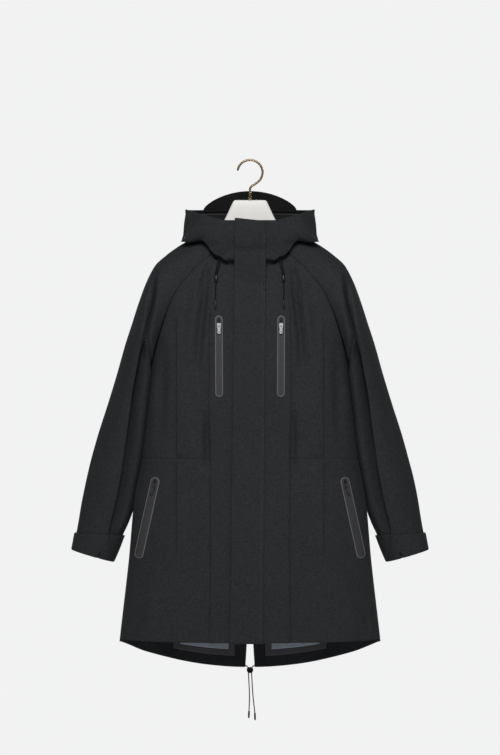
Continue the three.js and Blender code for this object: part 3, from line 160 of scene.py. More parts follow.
# Folds of the body: from a top point to a bottom point, proud where the depth is positive
FRONT_FOLDS = table(
    "top_x top_z bottom_x bottom_z width depth",
    (0.095, -0.226, 0.119, -0.480, 0.008, -0.010),
    (0.078, -0.232, 0.102, -0.400, 0.009, 0.0025),
    (0.110, -0.240, 0.142, -0.450, 0.012, 0.005),
    (0.196, -0.400, 0.205, -0.640, 0.014, -0.0045),
    (0.098, -0.560, 0.096, -0.700, 0.007, -0.009),
    (0.128, -0.500, 0.126, -0.800, 0.020, 0.0025),
    (0.130, -0.700, 0.134, -1.120, 0.018, -0.003),
    (0.210, -0.900, 0.236, -1.120, 0.018, 0.004),
)
BACK_FOLDS = table(
    "top_x top_z bottom_x bottom_z width depth",
    (0.060, -0.260, 0.074, -0.620, 0.016, -0.004),
    (0.104, -0.300, 0.112, -0.700, 0.018, 0.004),
    (0.160, -0.380, 0.182, -0.760, 0.016, -0.005),
    (0.036, -0.560, 0.044, -1.000, 0.018, 0.004),
    (0.092, -0.700, 0.108, -1.130, 0.020, -0.006),
    (0.152, -0.780, 0.176, -1.130, 0.022, 0.006),
    (0.212, -0.800, 0.236, -1.100, 0.018, -0.006),
)

# Finer creases on the two faces: side is 0 for both sides, bow is how far the middle stands
# off the straight line
FRONT_CREASES = table(
    "side top_x top_z bottom_x bottom_z bow width depth",
    (0, 0.094, -0.236, 0.117, -0.325, 0.004, 0.0050, -0.0026),
    (0, 0.118, -0.322, 0.119, -0.470, 0.001, 0.0070, -0.0014),
    (0, 0.104, -0.300, 0.108, -0.430, -0.002, 0.0060, 0.0012),
    (0, 0.066, -0.230, 0.040, -0.241, 0.002, 0.0022, -0.0014),
    (-1, 0.060, -0.238, 0.045, -0.262, 0.002, 0.0026, -0.0010),
    (1, 0.063, -0.239, 0.050, -0.268, 0.003, 0.0028, -0.0011),
    (0, 0.074, -0.238, 0.068, -0.276, 0.001, 0.0032, -0.0009),
    (-1, 0.205, -0.430, 0.222, -0.560, 0.003, 0.0080, 0.0022),
    (1, 0.203, -0.415, 0.221, -0.570, 0.002, 0.0080, 0.0020),
    (-1, 0.186, -0.455, 0.196, -0.640, 0.004, 0.0100, -0.0016),
    (1, 0.188, -0.470, 0.194, -0.610, 0.003, 0.0090, -0.0018),
    (0, 0.146, -0.440, 0.148, -0.640, 0.001, 0.0090, 0.0012),
    (-1, 0.124, -0.610, 0.104, -0.662, 0.003, 0.0050, -0.0014),
    (1, 0.121, -0.622, 0.102, -0.663, 0.002, 0.0045, -0.0013),
    (-1, 0.175, -0.860, 0.232, -1.000, 0.008, 0.0140, 0.0016),
    (1, 0.172, -0.880, 0.224, -0.990, 0.006, 0.0130, 0.0014),
    (-1, 0.108, -0.930, 0.101, -1.060, 0.002, 0.0090, -0.0014),
    (1, 0.110, -0.900, 0.102, -1.068, 0.001, 0.0100, -0.0016),
    (-1, 0.246, -1.000, 0.262, -1.070, 0.002, 0.0090, -0.0020),
    (1, 0.250, -0.985, 0.264, -1.068, 0.002, 0.0080, -0.0018),
    (0, 0.205, -0.560, 0.238, -0.610, 0.003, 0.0060, -0.0010),
    (-1, 0.052, -0.700, 0.062, -0.890, 0.002, 0.0110, -0.0010),
    (1, 0.050, -0.640, 0.060, -0.840, 0.001, 0.0110, -0.0009),
)
BACK_CREASES = table(
    "side top_x top_z bottom_x bottom_z bow width depth",
    (-1, 0.030, -0.190, 0.118, -0.300, 0.010, 0.0080, -0.0022),
    (1, 0.024, -0.196, 0.112, -0.290, 0.008, 0.0080, -0.0020),
    (0, 0.128, -0.270, 0.176, -0.400, -0.006, 0.0090, 0.0024),
    (-1, 0.150, -0.300, 0.196, -0.430, -0.004, 0.0060, -0.0028),
    (1, 0.154, -0.310, 0.196, -0.440, -0.005, 0.0060, -0.0026),
    (-1, 0.010, -0.330, 0.034, -0.560, 0.004, 0.0120, -0.0020),
    (1, 0.014, -0.360, 0.020, -0.600, 0.004, 0.0120, -0.0016),
    (-1, 0.120, -0.560, 0.206, -0.610, 0.006, 0.0080, -0.0018),
    (1, 0.128, -0.580, 0.212, -0.622, 0.005, 0.0090, -0.0018),
    (0, 0.204, -0.500, 0.214, -0.690, 0.002, 0.0090, 0.0020),
    (-1, 0.060, -0.840, 0.070, -1.090, 0.003, 0.0110, -0.0022),
    (1, 0.064, -0.800, 0.076, -1.100, 0.002, 0.0120, -0.0024),
    (-1, 0.246, -0.780, 0.262, -1.010, 0.003, 0.0100, 0.0024),
    (1, 0.248, -0.760, 0.260, -0.980, 0.002, 0.0100, 0.0022),
)

# The sleeve's long lapped fold: the turn of its edge at each row, how far its crest stands
# proud and how far the cloth drops inside it
ARM_LAP = table(
    "row crest drop",
    (0, 0, 0),
    (4.4, 0, 0),
    (5.2, 0.001, 0.004),
    (6, 0.004, 0.016),
    (7, 0.005, 0.029),
    (8, 0.005, 0.034),
    (9, 0.005, 0.034),
    (10, 0.005, 0.032),
    (12, 0.005, 0.028),
    (14, 0.005, 0.024),
    (16, 0.003, 0.013),
    (17.6, 0, 0),
    (18, 0, 0),
)
LAP_LINE = table(
    "z x",
    (-0.2356, 0.2106),
    (-0.308, 0.2220),
    (-0.405, 0.2414),
    (-0.504, 0.2610),
    (-0.580, 0.2720),
    (-0.720, 0.2930),
    (-0.832, 0.3180),
)
LAP_TURNS = (22, 92)
LAP_EDGE = 2.4
LAP_FLOOR = 3.4
LAP_RISE = 9
LAP_CREST = 17
LAP_SHARE = 0.25
LAP_SHARE_NEAR = 0.022
ARM_FOLDS = table(
    "side turn first_row last_row lean width depth",
    (0, 33, 5.6, 9.3, -50, 5, -0.013),
    (0, 23, 8.5, 17, 0, 9, 0.0035),
    (0, 68, 9, 16, -3, 16, -0.0025),
    (0, 104, 8, 17, 3, 16, 0.003),
    (0, 130, 5, 16, -4, 12, -0.005),
    (0, 156, 7, 17, 2, 11, 0.004),
    (-1, 62, 10.4, 12.2, 16, 5, -0.0016),
    (1, 58, 11.0, 12.9, 14, 5, -0.0018),
    (-1, 80, 12.3, 14.2, -14, 6, 0.0016),
    (1, 84, 12.8, 15.0, -12, 6, 0.0015),
    (0, 116, 10.6, 13.0, 15, 5, -0.0026),
    (-1, 140, 11.5, 13.6, -16, 5, 0.0026),
    (1, 144, 11.1, 13.2, -14, 5, 0.0024),
    (0, 30, 1.0, 4.6, 18, 12, 0.0016),
    (-1, 58, 1.4, 4.8, 10, 9, -0.0014),
    (1, 60, 1.2, 4.4, 12, 9, -0.0015),
    (0, 128, 1.5, 5.0, -12, 12, -0.0026),
)

# The hood's ring, as loops round the hanger from the neck seam up to the rim
HOOD = table(
    "half_width front back front_z side_z back_z square",
    (0.112, 0.059, 0.092, -0.210, -0.155, -0.202, 2.4),
    (0.143, 0.069, 0.132, -0.196, -0.178, -0.222, 2.6),
    (0.151, 0.075, 0.154, -0.176, -0.164, -0.184, 2.8),
    (0.149, 0.078, 0.142, -0.156, -0.134, -0.134, 2.8),
    (0.145, 0.080, 0.104, -0.137, -0.109, -0.104, 2.8),
)
HOOD_INSET = (0.0042, 0.0032)
HOOD_DROP = 0.004
HOOD_STAND = 0.0075
# The lower edge of the hood's front, where it turns under above the shoulder, and its upper rim
HOOD_EDGE = table(
    "x z",
    (0, -0.196),
    (0.044, -0.197),
    (0.053, -0.202),
    (0.061, -0.2125),
    (0.074, -0.2145),
    (0.086, -0.206),
    (0.098, -0.189),
    (0.109, -0.1795),
    (0.122, -0.1815),
    (0.136, -0.1845),
    (0.154, -0.183),
)
HOOD_RIM = table(
    "x z",
    (0, -0.137),
    (0.036, -0.137),
    (0.063, -0.136),
    (0.100, -0.126),
    (0.146, -0.109),
)
# The wing's ridge, a sharp change of plane from the rim down to its tip, and the side behind it
HOOD_WING = table(
    "level ridge_x ridge_y side_x front_share side_share",
    (1, 0.154, -0.038, 0.1475, 0, 0),
    (2, 0.137, -0.056, 0.1475, 0.34, 0.20),
    (3, 0.121, -0.065, 0.1470, 0.68, 0.64),
    (4, 0.107, -0.071, 0.1455, 1, 1),
)
HOOD_RIDGE_TURN = 60
HOOD_BEND = 2.2
HOOD_SIDE_BEND = 1.3
HOOD_TUCK_X = (0.060, 0.084)
COLLAR_SWELL = (0, -0.008, -0.005)
HOOD_CREASES = table(
    "side turn first_level last_level lean width depth",
    (0, 24, 1.2, 2.7, 5, 3.4, -0.0036),
    (-1, 34, 0.9, 2.2, -6, 2.8, -0.0022),
    (1, 36, 0.9, 2.1, -6, 2.8, -0.0024),
    (0, 45, 1.0, 3.0, 10, 5.0, 0.0020),
    (0, 19, 0.0, 1.2, 5, 2.2, -0.0014),
    (0, 84, 0.8, 3.6, 3, 5.0, 0.0040),
    (0, 96, 1.0, 3.8, -4, 6.0, -0.0040),
    (-1, 118, 0.8, 3.4, 6, 7.0, 0.0040),
    (1, 122, 0.9, 3.2, 6, 7.0, 0.0040),
    (-1, 142, 0.6, 3.0, -5, 6.0, -0.0045),
    (1, 138, 0.7, 3.2, -5, 6.0, -0.0045),
    (0, 160, 0.8, 3.0, 3, 7.0, 0.0030),
)
BRIM_HALF = 0.105
BRIM_RISE = 0.038
BRIM_LEAN = 0.009
BRIM_END = 0.0015
BRIM_GAP = 0.0011

# The storm flap's edges, and how far it stands off the body
FLAP_TOP = (-0.033, 0.035)
FLAP_HEM = (-0.044, 0.028)
FLAP_TOP_Z = (-0.132, -0.139)
FLAP_FREE_STAND = 0.0040
FLAP_SEWN_STAND = 0.0006
FLAP_COLLAR_STAND = 0.0009
FLAP_SEAM_Z = -0.209
FLAP_BRIDGE_Z = (-0.200, -0.275)
FLAP_BRIDGE = 1.0

# The vent in the back hem, and what shows inside the hem and inside the back of the hood
VENT_TOP_Z = -0.985
VENT_TOP_HALF = 0.0016
VENT_HEM_HALF = 0.0105
LINING_DEPTH = 0.0012
LINING_X = (0.049, 0.158)
LINING_SHARES = (0.5, 0.755)
TAPE_X = (0.035, 0.174)
TAPE_SHARES = (0.5, 0.845)
NECK_END_TURN = 131
NECK_DEPTH = 0.0030
NECK_BAND_LEVELS = (3.27, 3.73)
NECK_LINING_LEVELS = (3.02, 3.24)

# Rows of stitches: shares across the flap, and rows down the cuff
FLAP_STITCHES = (0.915, 0.975)
CUFF_STITCHES = (16.2, 17.8)

# Welded zips, from the top to the bottom of each, and how far down its slider stands
ZIPS = {
    "chest": {"top": (0.0695, -0.349), "bottom": (0.0685, -0.530), "width": 0.017, "slider_at": 0.022},
    "hand": {"top": (0.210, -0.710), "bottom": (0.250, -0.891), "width": 0.020, "slider_at": 0.020},
}
ZIP_RING = 0.0018
ZIP_EDGE = 0.0005
ZIP_SWELL = 0.0010
ZIP_COVER = 0.0011
ZIP_PITCH = 0.0028
ZIP_GARAGE = {"start": 0.0052, "half": 0.0028}

# The hanger: sections across it from the middle to the end of an arm, and its hook
HANGER = table(
    "x top bottom half_depth",
    (0, -0.088, -0.178, 0.006),
    (0.032, -0.088, -0.179, 0.006),
    (0.0365, -0.0895, -0.180, 0.006),
    (0.039, -0.0935, -0.180, 0.006),
    (0.061, -0.138, -0.185, 0.007),
    (0.080, -0.156, -0.193, 0.009),
    (0.120, -0.176, -0.214, 0.012),
    (0.160, -0.199, -0.234, 0.015),
    (0.190, -0.222, -0.247, 0.016),
    (0.202, -0.234, -0.248, 0.011),
)
HOOK_WIRE = 0.0024
HOOK_RADIUS = 0.0283
HOOK_CENTRE_Z = -0.0258
HOOK_TIP_TURN = 172
HOOK_NECK = ((0.0235, -0.041), (0.011, -0.052), (0.0026, -0.0575), (0, -0.063), (0, -0.065), (0, -0.067))
SHAFT_Z = (-0.0673, -0.0877)

# Cords: each strand's route from where it leaves the cloth, with the bead or toggle it passes
CORD_RADIUS = 0.0012
CORD_STEPS = 121
NECK_STRANDS = {
    -1: {
        "inner": ((-0.06496, -0.05147, -0.20828), (-0.06764, -0.05537, -0.23314), (-0.07412, -0.06051, -0.25380),
                  (-0.07412, -0.06051, -0.25740), (-0.07500, -0.06180, -0.26500), (-0.07562, -0.06306, -0.27260),
                  (-0.07692, -0.06575, -0.29330), (-0.07662, -0.06744, -0.31400)),
        "outer": ((-0.06796, -0.05147, -0.20828), (-0.07246, -0.05583, -0.23314), (-0.07712, -0.06051, -0.25380),
                  (-0.07712, -0.06051, -0.25740)),
        "bead": ((-0.07562, -0.06051, -0.25800), (-0.07562, -0.06302, -0.27177)),
        "aglet": ((-0.07663, -0.06747, -0.31430), (-0.07708, -0.06944, -0.33319)),
    },
    1: {
        "inner": ((0.06496, -0.05147, -0.20828), (0.06764, -0.05537, -0.23314), (0.07310, -0.06030, -0.25380),
                  (0.07310, -0.06030, -0.25740), (0.07400, -0.06160, -0.26500), (0.07461, -0.06283, -0.27260),
                  (0.07566, -0.06553, -0.29330), (0.07511, -0.06722, -0.31400)),
        "outer": ((0.06796, -0.05147, -0.20828), (0.07246, -0.05583, -0.23314), (0.07610, -0.06030, -0.25380),
                  (0.07610, -0.06030, -0.25740)),
        "bead": ((0.07460, -0.06030, -0.25800), (0.07461, -0.06279, -0.27178)),
        "aglet": ((0.07511, -0.06725, -0.31430), (0.07533, -0.06923, -0.33319)),
    },
}
HEM_STRANDS = {
    -1: {
        "cord": ((-0.011, 0.101, -1.142), (-0.005, 0.101, -1.147), (-0.0040, 0.101, -1.1535),
                 (-0.0036, 0.101, -1.1602), (-0.0012, 0.101, -1.2117), (-0.0022, 0.101, -1.2460)),
        "tip": ((-0.00221, 0.101, -1.2463), (-0.0028, 0.101, -1.2630)),
    },
    1: {
        "cord": ((0.011, 0.101, -1.142), (0.005, 0.101, -1.147), (0.0040, 0.101, -1.1535),
                 (0.0036, 0.101, -1.1602), (0.0070, 0.101, -1.2141), (0.0110, 0.101, -1.2500)),
        "tip": ((0.01101, 0.101, -1.2503), (0.0116, 0.101, -1.2680)),
    },
}
TOGGLE = ((0, 0.0955, -1.153), (0, 0.1065, -1.153))
EYELETS = {
    -1: ((-0.06519, -0.04819, -0.20714), (-0.06594, -0.05014, -0.20782)),
    1: ((0.06519, -0.04819, -0.20714), (0.06594, -0.05014, -0.20782)),
}
# Ridges on a tube: helices of a height and a pitch, and whether a second set crosses the first
KNURL = {"height": 0.00012, "starts": 8, "pitch": 0.0060, "crossed": True}
BRAID = {"height": 0.00005, "starts": 3, "pitch": 0.0016, "crossed": True}
# Turned profiles, each as shares along the piece and radii
BEAD = ((0, 0.0004), (0, 0.0028), (0.03, 0.0032), (0.10, 0.0037), (0.20, 0.0040), (0.45, 0.0041), (0.75, 0.0040),
        (0.86, 0.0038), (0.88, 0.0035), (0.91, 0.0035), (0.92, 0.0036), (0.97, 0.0032), (1, 0.0026), (1, 0.0004))
AGLET = ((0, 0.0003), (0, 0.0015), (0.03, 0.0019), (0.08, 0.0021), (0.12, 0.00185), (0.15, 0.00185),
         (0.19, 0.0021), (0.55, 0.0021), (0.80, 0.0020), (0.93, 0.0017), (0.99, 0.0012), (1, 0.0003))
EYELET = ((0, 0.0004), (0, 0.0043), (0.3, 0.0045), (0.65, 0.0045), (0.9, 0.0041), (1, 0.0035), (0.95, 0.0027),
          (0.7, 0.0023), (0.3, 0.0022), (0.3, 0.0004))
TOGGLE_DISC = ((0.10, 0.0003), (0.08, 0.0045), (0.02, 0.0052), (0, 0.0060), (0.05, 0.0069), (0.16, 0.0074),
               (0.45, 0.0075), (0.55, 0.0075), (0.84, 0.0074), (0.95, 0.0069), (1, 0.0060), (0.98, 0.0052),
               (0.92, 0.0045), (0.90, 0.0003))
SHAFT = ((0, 0.0004), (0, 0.0023), (0.02, 0.0027), (0.83, 0.0027), (0.84, 0.0041), (0.86, 0.0043), (0.98, 0.0043),
         (1, 0.0040), (1, 0.0004))


def unit(vectors):
    """Vectors at length 1."""
    return vectors / np.maximum(np.linalg.norm(vectors, axis=-1, keepdims=True), 1e-12)


def lerp(start, end, share):
    return start + (end - start) * share


def smooth_step(value, low, high):
    share = np.clip((value - low) / (high - low), 0, 1)
    return share * share * (3 - 2 * share)


def bump(distance, width):
    """A soft bump of height 1 at distance 0."""
    return np.exp(-((distance / width) ** 2))


def along(rows, key_name, key, column):
    """A column's value at a key, as a smooth curve through the rows."""
    keys, values = rows[key_name], rows[column]
    rising = 1 if keys[-1] > keys[0] else -1
    index = np.searchsorted(rising * keys, rising * np.asarray(key), side="left") - 1
    index = np.clip(index, 0, len(keys) - 2)
    before = np.maximum(np.arange(len(keys)) - 1, 0)
    after = np.minimum(np.arange(len(keys)) + 1, len(keys) - 1)
    slopes = (values[after] - values[before]) / (keys[after] - keys[before])
    span = keys[index + 1] - keys[index]
    t = np.clip((key - keys[index]) / span, 0, 1)
    start = (2 * t**3 - 3 * t**2 + 1) * values[index] + (t**3 - 2 * t**2 + t) * span * slopes[index]
    end = (3 * t**2 - 2 * t**3) * values[index + 1] + (t**3 - t**2) * span * slopes[index + 1]
    return start + end


def rows_of(folds):
    """A table's rows, one at a time, with their columns by name."""
    for values in zip(*folds.values()):
        yield dict(zip(folds, values))


def fold_lift(folds, x, z):
    """How far the broad folds of a list move the cloth."""
    lift = np.zeros_like(x)
    for fold in rows_of(folds):
        t = np.clip((z - fold["top_z"]) / (fold["bottom_z"] - fold["top_z"]), 0, 1)
        centre = lerp(fold["top_x"], fold["bottom_x"], t)
        lift += fold["depth"] * np.sin(np.pi * t) ** 0.7 * bump(np.abs(x) - centre, fold["width"])
    return lift


def crease_lift(creases, x, z):
    """How far the fine creases move the cloth: a trough or ridge with a soft shoulder on each side."""
    lift = np.zeros_like(x)
    for crease in rows_of(creases):
        start = np.array([crease["top_x"], crease["top_z"]])
        way = np.array([crease["bottom_x"], crease["bottom_z"]]) - start
        length = np.hypot(*way)
        from_start = np.stack([np.abs(x) - start[0], z - start[1]], axis=-1)
        t = np.clip(from_start @ way / length**2, 0, 1)
        beside = (from_start[..., 0] * way[1] - from_start[..., 1] * way[0]) / length
        beside = beside + crease["bow"] * 4 * t * (1 - t)
        shape = bump(beside, crease["width"]) - 0.3 * bump(np.abs(beside) - 2 * crease["width"], crease["width"])
        on_side = 1.0 if crease["side"] == 0 else (np.sign(x) == crease["side"])
        lift += crease["depth"] * np.sin(np.pi * t) ** 0.6 * shape * on_side
    return lift


def tuck_lift(x, z):
    """The tuck: a lapped edge, proud on the middle's side, that fades in and out."""
    distance = np.abs(x) - TUCK_X
    chest = smooth_step(-z, 0.335, 0.400) * (1 - smooth_step(-z, 0.655, 0.668))
    skirt = smooth_step(-z, 0.672, 0.690) * (1 - smooth_step(-z, 0.780, 0.930))
    over = smooth_step(distance, 0, TUCK_EDGE)
    proud = bump(distance, TUCK_WIDTH) * (1 - over)
    sunk = over * bump(distance - TUCK_EDGE, TUCK_SUNK_WIDTH)
    return (chest + skirt) * (TUCK_PROUD * proud - TUCK_SUNK * sunk)


def turn_at(x, z):
    """The turn round the body at which it reaches a place across, from 0 in the middle."""
    share = np.minimum(np.abs(x) / along(TORSO, "z", z, "half_width"), 1)
    return np.sign(x) * np.arcsin(share ** (ROUNDNESS / 2))


def torso(face, turn, z, offset=0.0):
    """Points of the body's cloth and their outward directions."""
    half_width = along(TORSO, "z", z, "half_width")
    depth = along(TORSO, "z", z, face)
    away = -1 if face == "front" else 1
    across = np.sign(turn) * np.abs(np.sin(turn)) ** (2 / ROUNDNESS)
    ahead = np.abs(np.cos(turn)) ** (2 / ROUNDNESS)
    normal_x = np.sign(across) * np.abs(across) ** (ROUNDNESS - 1) / half_width
    normal_y = away * ahead ** (ROUNDNESS - 1) / depth
    normals = unit(np.stack([normal_x, normal_y, np.zeros_like(normal_x)], axis=-1))
    x = across * half_width
    calm = np.minimum(1, ahead * 4)
    if face == "front":
        lift = fold_lift(FRONT_FOLDS, x, z) + crease_lift(FRONT_CREASES, x, z) + tuck_lift(x, z)
    else:
        lift = fold_lift(BACK_FOLDS, x, z) + crease_lift(BACK_CREASES, x, z)
    points = np.stack([x, away * ahead * depth, z], axis=-1)
    return points + normals * (lift * calm + offset)[..., None], normals


def torso_at(face, x, z, offset=0.0):
    return torso(face, turn_at(x, z), z, offset)


def spread(count, edge=0.5):
    """Shares from 0 to 1 that lie closer together near both ends."""
    t = np.linspace(0, 1, count)
    return lerp(t, 0.5 - 0.5 * np.cos(np.pi * t), edge)


def seam_dip(distance):
    """How far the cloth dips into a seam at a distance from it."""
    return -SEAM_DIP * bump(distance, SEAM_WIDTH)


def grid_normals(points, closed=False):
    """Directions across a grid of points, from each point's neighbours."""
    down = np.gradient(points, axis=0)
    if closed:
        round_it = np.roll(points, -1, axis=1) - np.roll(points, 1, axis=1)
    else:
        round_it = np.gradient(points, axis=1)
    return unit(np.cross(round_it, down))


def flat_places(points):
    """Each point's place on the flat cloth, across and down, in metres."""
    across = np.linalg.norm(np.diff(points, axis=1), axis=-1).cumsum(axis=1)
    down = np.linalg.norm(np.diff(points, axis=0), axis=-1).cumsum(axis=0)
    across = np.pad(across, ((0, 0), (1, 0)))
    down = np.pad(down, ((1, 0), (0, 0)))
    across -= across[:, -1:] / 2
    return np.stack([across, -down], axis=-1)


def new_object(name, vertices, faces, uv=None):
    """A smooth mesh object from points and faces."""
    mesh = bpy.data.meshes.new(name)
    mesh.from_pydata(np.asarray(vertices).tolist(), [], [list(face) for face in faces])
    mesh.polygons.foreach_set("use_smooth", [True] * len(mesh.polygons))
    if uv is not None:
        index = np.empty(len(mesh.loops), dtype=np.int32)
        mesh.loops.foreach_get("vertex_index", index)
        layer = mesh.uv_layers.new(name="flat")
        layer.data.foreach_set("uv", np.asarray(uv)[index].ravel())
    mesh.update()
    made = bpy.data.objects.new(name, mesh)
    bpy.context.scene.collection.objects.link(made)
    return made


def shell(name, points, normals, thickness=CLOTH, closed=False, keep=None):
    """A wall of cloth with rounded edges, between a grid of points and the same points moved in."""
    rows, columns = points.shape[:2]
    quad_columns = columns if closed else columns - 1
    keep = np.ones((rows - 1, quad_columns), dtype=bool) if keep is None else keep
    row, column = np.nonzero(keep)
    beside = (column + 1) % columns
    quads = np.stack([row * columns + column, row * columns + beside,
                      (row + 1) * columns + beside, (row + 1) * columns + column], axis=1)
    outer = points.reshape(-1, 3)
    out = normals.reshape(-1, 3)
    inner = outer - out * thickness
    facing = np.cross(outer[quads[:, 1]] - outer[quads[:, 0]], outer[quads[:, 3]] - outer[quads[:, 0]])
    if (facing * out[quads[:, 0]]).sum() < 0:
        quads = quads[:, ::-1]
    edges = np.concatenate([quads[:, [i, (i + 1) % 4]] for i in range(4)])
    _, index, uses = np.unique(np.sort(edges, axis=1), axis=0, return_index=True, return_counts=True)
    rim = edges[index[uses == 1]]
    outside = np.zeros_like(outer)
    way = unit(np.cross(outer[rim[:, 1]] - outer[rim[:, 0]], out[rim[:, 0]]))
    np.add.at(outside, rim[:, 0], way)
    np.add.at(outside, rim[:, 1], way)
    middle = (outer + inner) / 2 + unit(outside) * thickness / 2
    count = len(outer)
    a, b = rim[:, 0], rim[:, 1]
    faces = np.concatenate([
        quads,
        quads[:, ::-1] + count,
        np.stack([b, a, a + 2 * count, b + 2 * count], axis=1),
        np.stack([b + 2 * count, a + 2 * count, a + count, b + count], axis=1),
    ])
    used, faces = np.unique(faces, return_inverse=True)
    faces = faces.reshape(-1, 4)
    vertices = np.concatenate([outer, inner, middle])[used]
    uv = np.tile(flat_places(points).reshape(-1, 2), (3, 1))[used]
    return new_object(name, vertices, faces.tolist(), uv)


def hem_front_z(x):
    """The front hem rises a little towards the sides."""
    return lerp(HEM_FRONT_Z, HEM_SIDE_Z, np.minimum(np.abs(x) / HEM_HALF, 1) ** 3)


def hem_back_z(x):
    """The back hem falls from the side seams to a fishtail."""
    share = np.minimum(np.abs(x) / HEM_HALF, 1)
    return lerp(HEM_SIDE_Z, HEM_BACK_Z, (1 - share**2) ** 0.85)


def neck_front_z(x):
    """The front neck seam is level in the middle and rises to the raglan seam."""
    share = np.clip((np.abs(x) - NECK_LEVEL_X) / (NECK_CORNER_X - NECK_LEVEL_X), 0, 1)
    return lerp(NECK_FRONT_Z, NECK_CORNER_Z, share**1.6)


def side_turn(face, z):
    """The turn of a panel's outer edge: the raglan seam, and below the armpit the side seam."""
    seam_x = along(RAGLAN, face + "_z", z, face + "_x") - SEAM_GAP
    return np.where(z > ARMPIT_Z + 0.001, turn_at(seam_x, z), SIDE_TURN)


def pleat_edge(z):
    """The centre panel's outer edge, where it laps over the side panel."""
    return along(PLEAT, "z", z, "x")


PLEAT = table(
    "z x",
    (-0.212, 0.0850),
    (-0.317, 0.0862),
    (-0.461, 0.0902),
    (-0.583, 0.0900),
    (-0.673, 0.0885),
    (-0.790, 0.0868),
    (-0.898, 0.0866),
    (-1.077, 0.0885),
)


def pleat_rise(x, z):
    """How far the centre panel stands out where it laps over the side panel."""
    share = np.clip((np.abs(x) - ZIP_FACET_X) / (ZIP_FACET_END_X - ZIP_FACET_X), 0, 1)
    return PLEAT_RISE * share * smooth_step(-z, 0.255, 0.340)


def centre_panel(side):
    """The centre panel from the neck seam to the hem."""
    v = spread(190, 0.25)[:, None]
    u = spread(46)[None, :]
    rough_z = lerp(NECK_FRONT_Z, HEM_FRONT_Z, v)
    x = lerp(SEAM_GAP, pleat_edge(rough_z), u)
    z = lerp(neck_front_z(x), hem_front_z(x), v)
    down = np.abs(z - neck_front_z(x))
    merged = 1 - smooth_step(-z, *PLEAT_STARTS)
    tucked_in = merged * smooth_step(x, pleat_edge(z) - PLEAT_BLEND / 2, pleat_edge(z))
    lift = pleat_rise(x, z) + seam_dip(down) + seam_dip(x) - 0.0008 * tucked_in
    points, normals = torso_at("front", side * x, z, lift)
    return shell("centre_" + side_name(side), points, normals)


def side_columns(z, count=66):
    """Turns across a side panel at each height, closer together at its edges and at the tuck."""
    first = turn_at(np.full_like(z, PLEAT_UNDER_X), z)
    last = side_turn("front", z)
    even = spread(count, 0.6)[None, :]
    turns = lerp(first, last, even)
    tuck = turn_at(np.full_like(z, TUCK_X), z)
    near = np.linspace(-0.006, 0.006, 13)[None, :]
    turns = np.concatenate([turns, np.clip(tuck + near, first, last - 0.004)], axis=1)
    return np.sort(turns, axis=1)


def side_panel(side, part, rows, seam_ends):
    """A side panel of the front between two heights, under the pleat on its inner side."""
    z = rows[:, None]
    turns = side_columns(z)
    z = np.broadcast_to(z, turns.shape)
    x = torso("front", turns, z)[0][..., 0]
    if part == "skirt":
        share = smooth_step(-z, 1.000, 1.077)
        z = lerp(z, hem_front_z(x) + (z + 1.077), share)
    starts = smooth_step(-z, *PLEAT_STARTS)
    edge = pleat_edge(z) - PLEAT_BLEND * (1 - starts)
    under = 1 - smooth_step(x, edge + 0.0002, edge + lerp(0.0014, 0.0050, starts))
    sunk = PLEAT_SINK * under + 0.0022 * smooth_step(-z, 0.56, 0.60) * (
        1 - smooth_step(-z, 0.66, 0.70)) * bump(x - pleat_edge(z), 0.010)
    seams = [seam_dip(np.abs(z - end)) for end in seam_ends]
    edge = along(RAGLAN, "front_z", z, "front_x")
    raglan = np.where(z > ARMPIT_Z, seam_dip(edge - x), 0)
    points, normals = torso("front", side * turns, z, sum(seams) + raglan - sunk)
    return shell(part + "_cloth_" + side_name(side), points, normals)


def side_panels(side):
    chest_rows = np.concatenate([np.linspace(NECK_CORNER_Z, -0.30, 36), np.linspace(-0.303, WAIST_Z + 0.006, 80),
                                 WAIST_Z + np.array([0.0045, 0.003, 0.002, 0.001, SEAM_GAP])])
    skirt_rows = np.concatenate([WAIST_Z - np.array([SEAM_GAP, 0.001, 0.002, 0.003, 0.0045]),
                                 np.linspace(WAIST_Z - 0.006, -1.0765, 110)])
    return [side_panel(side, "chest", chest_rows, [WAIST_Z]), side_panel(side, "skirt", skirt_rows, [WAIST_Z])]


def back_panel():
    """The back from the neck to its fishtail hem, left open at the vent."""
    neck_rows = np.linspace(NECK_BACK_Z, VENT_TOP_Z, 150)
    hem_shares = np.linspace(0, 1, 36)[1:]
    half = spread(62, 0.35)[1:]
    shares = np.concatenate([-half[::-1], [-1e-9, 1e-9], half])
    middle = len(half)
    upper = neck_rows[:, None] + np.zeros_like(shares)[None, :]
    vent = np.concatenate([np.full(len(neck_rows), VENT_TOP_HALF), lerp(VENT_TOP_HALF, VENT_HEM_HALF, hem_shares)])
    z = np.concatenate([upper, np.full((len(hem_shares), len(shares)), VENT_TOP_Z)])
    side = np.sign(shares)[None, :]
    first = turn_at(vent[:, None], z)
    last = side_turn("back", z)
    turns = side * lerp(first, last, np.abs(shares)[None, :])
    x = torso("back", turns, z)[0][..., 0]
    hem = lerp(VENT_TOP_Z, hem_back_z(x[len(neck_rows):]), hem_shares[:, None])
    z = np.concatenate([upper, hem])
    edge = along(RAGLAN, "back_z", z, "back_x")
    seam = np.where(z > ARMPIT_Z, seam_dip(edge - np.abs(x)), 0)
    points, normals = torso("back", turns, z, seam)
    keep = np.ones((len(z) - 1, len(shares) - 1), dtype=bool)
    keep[len(neck_rows) - 1:, middle] = False
    return shell("back_cloth", points, normals, keep=keep)


def side_name(side):
    return "left" if side < 0 else "right"


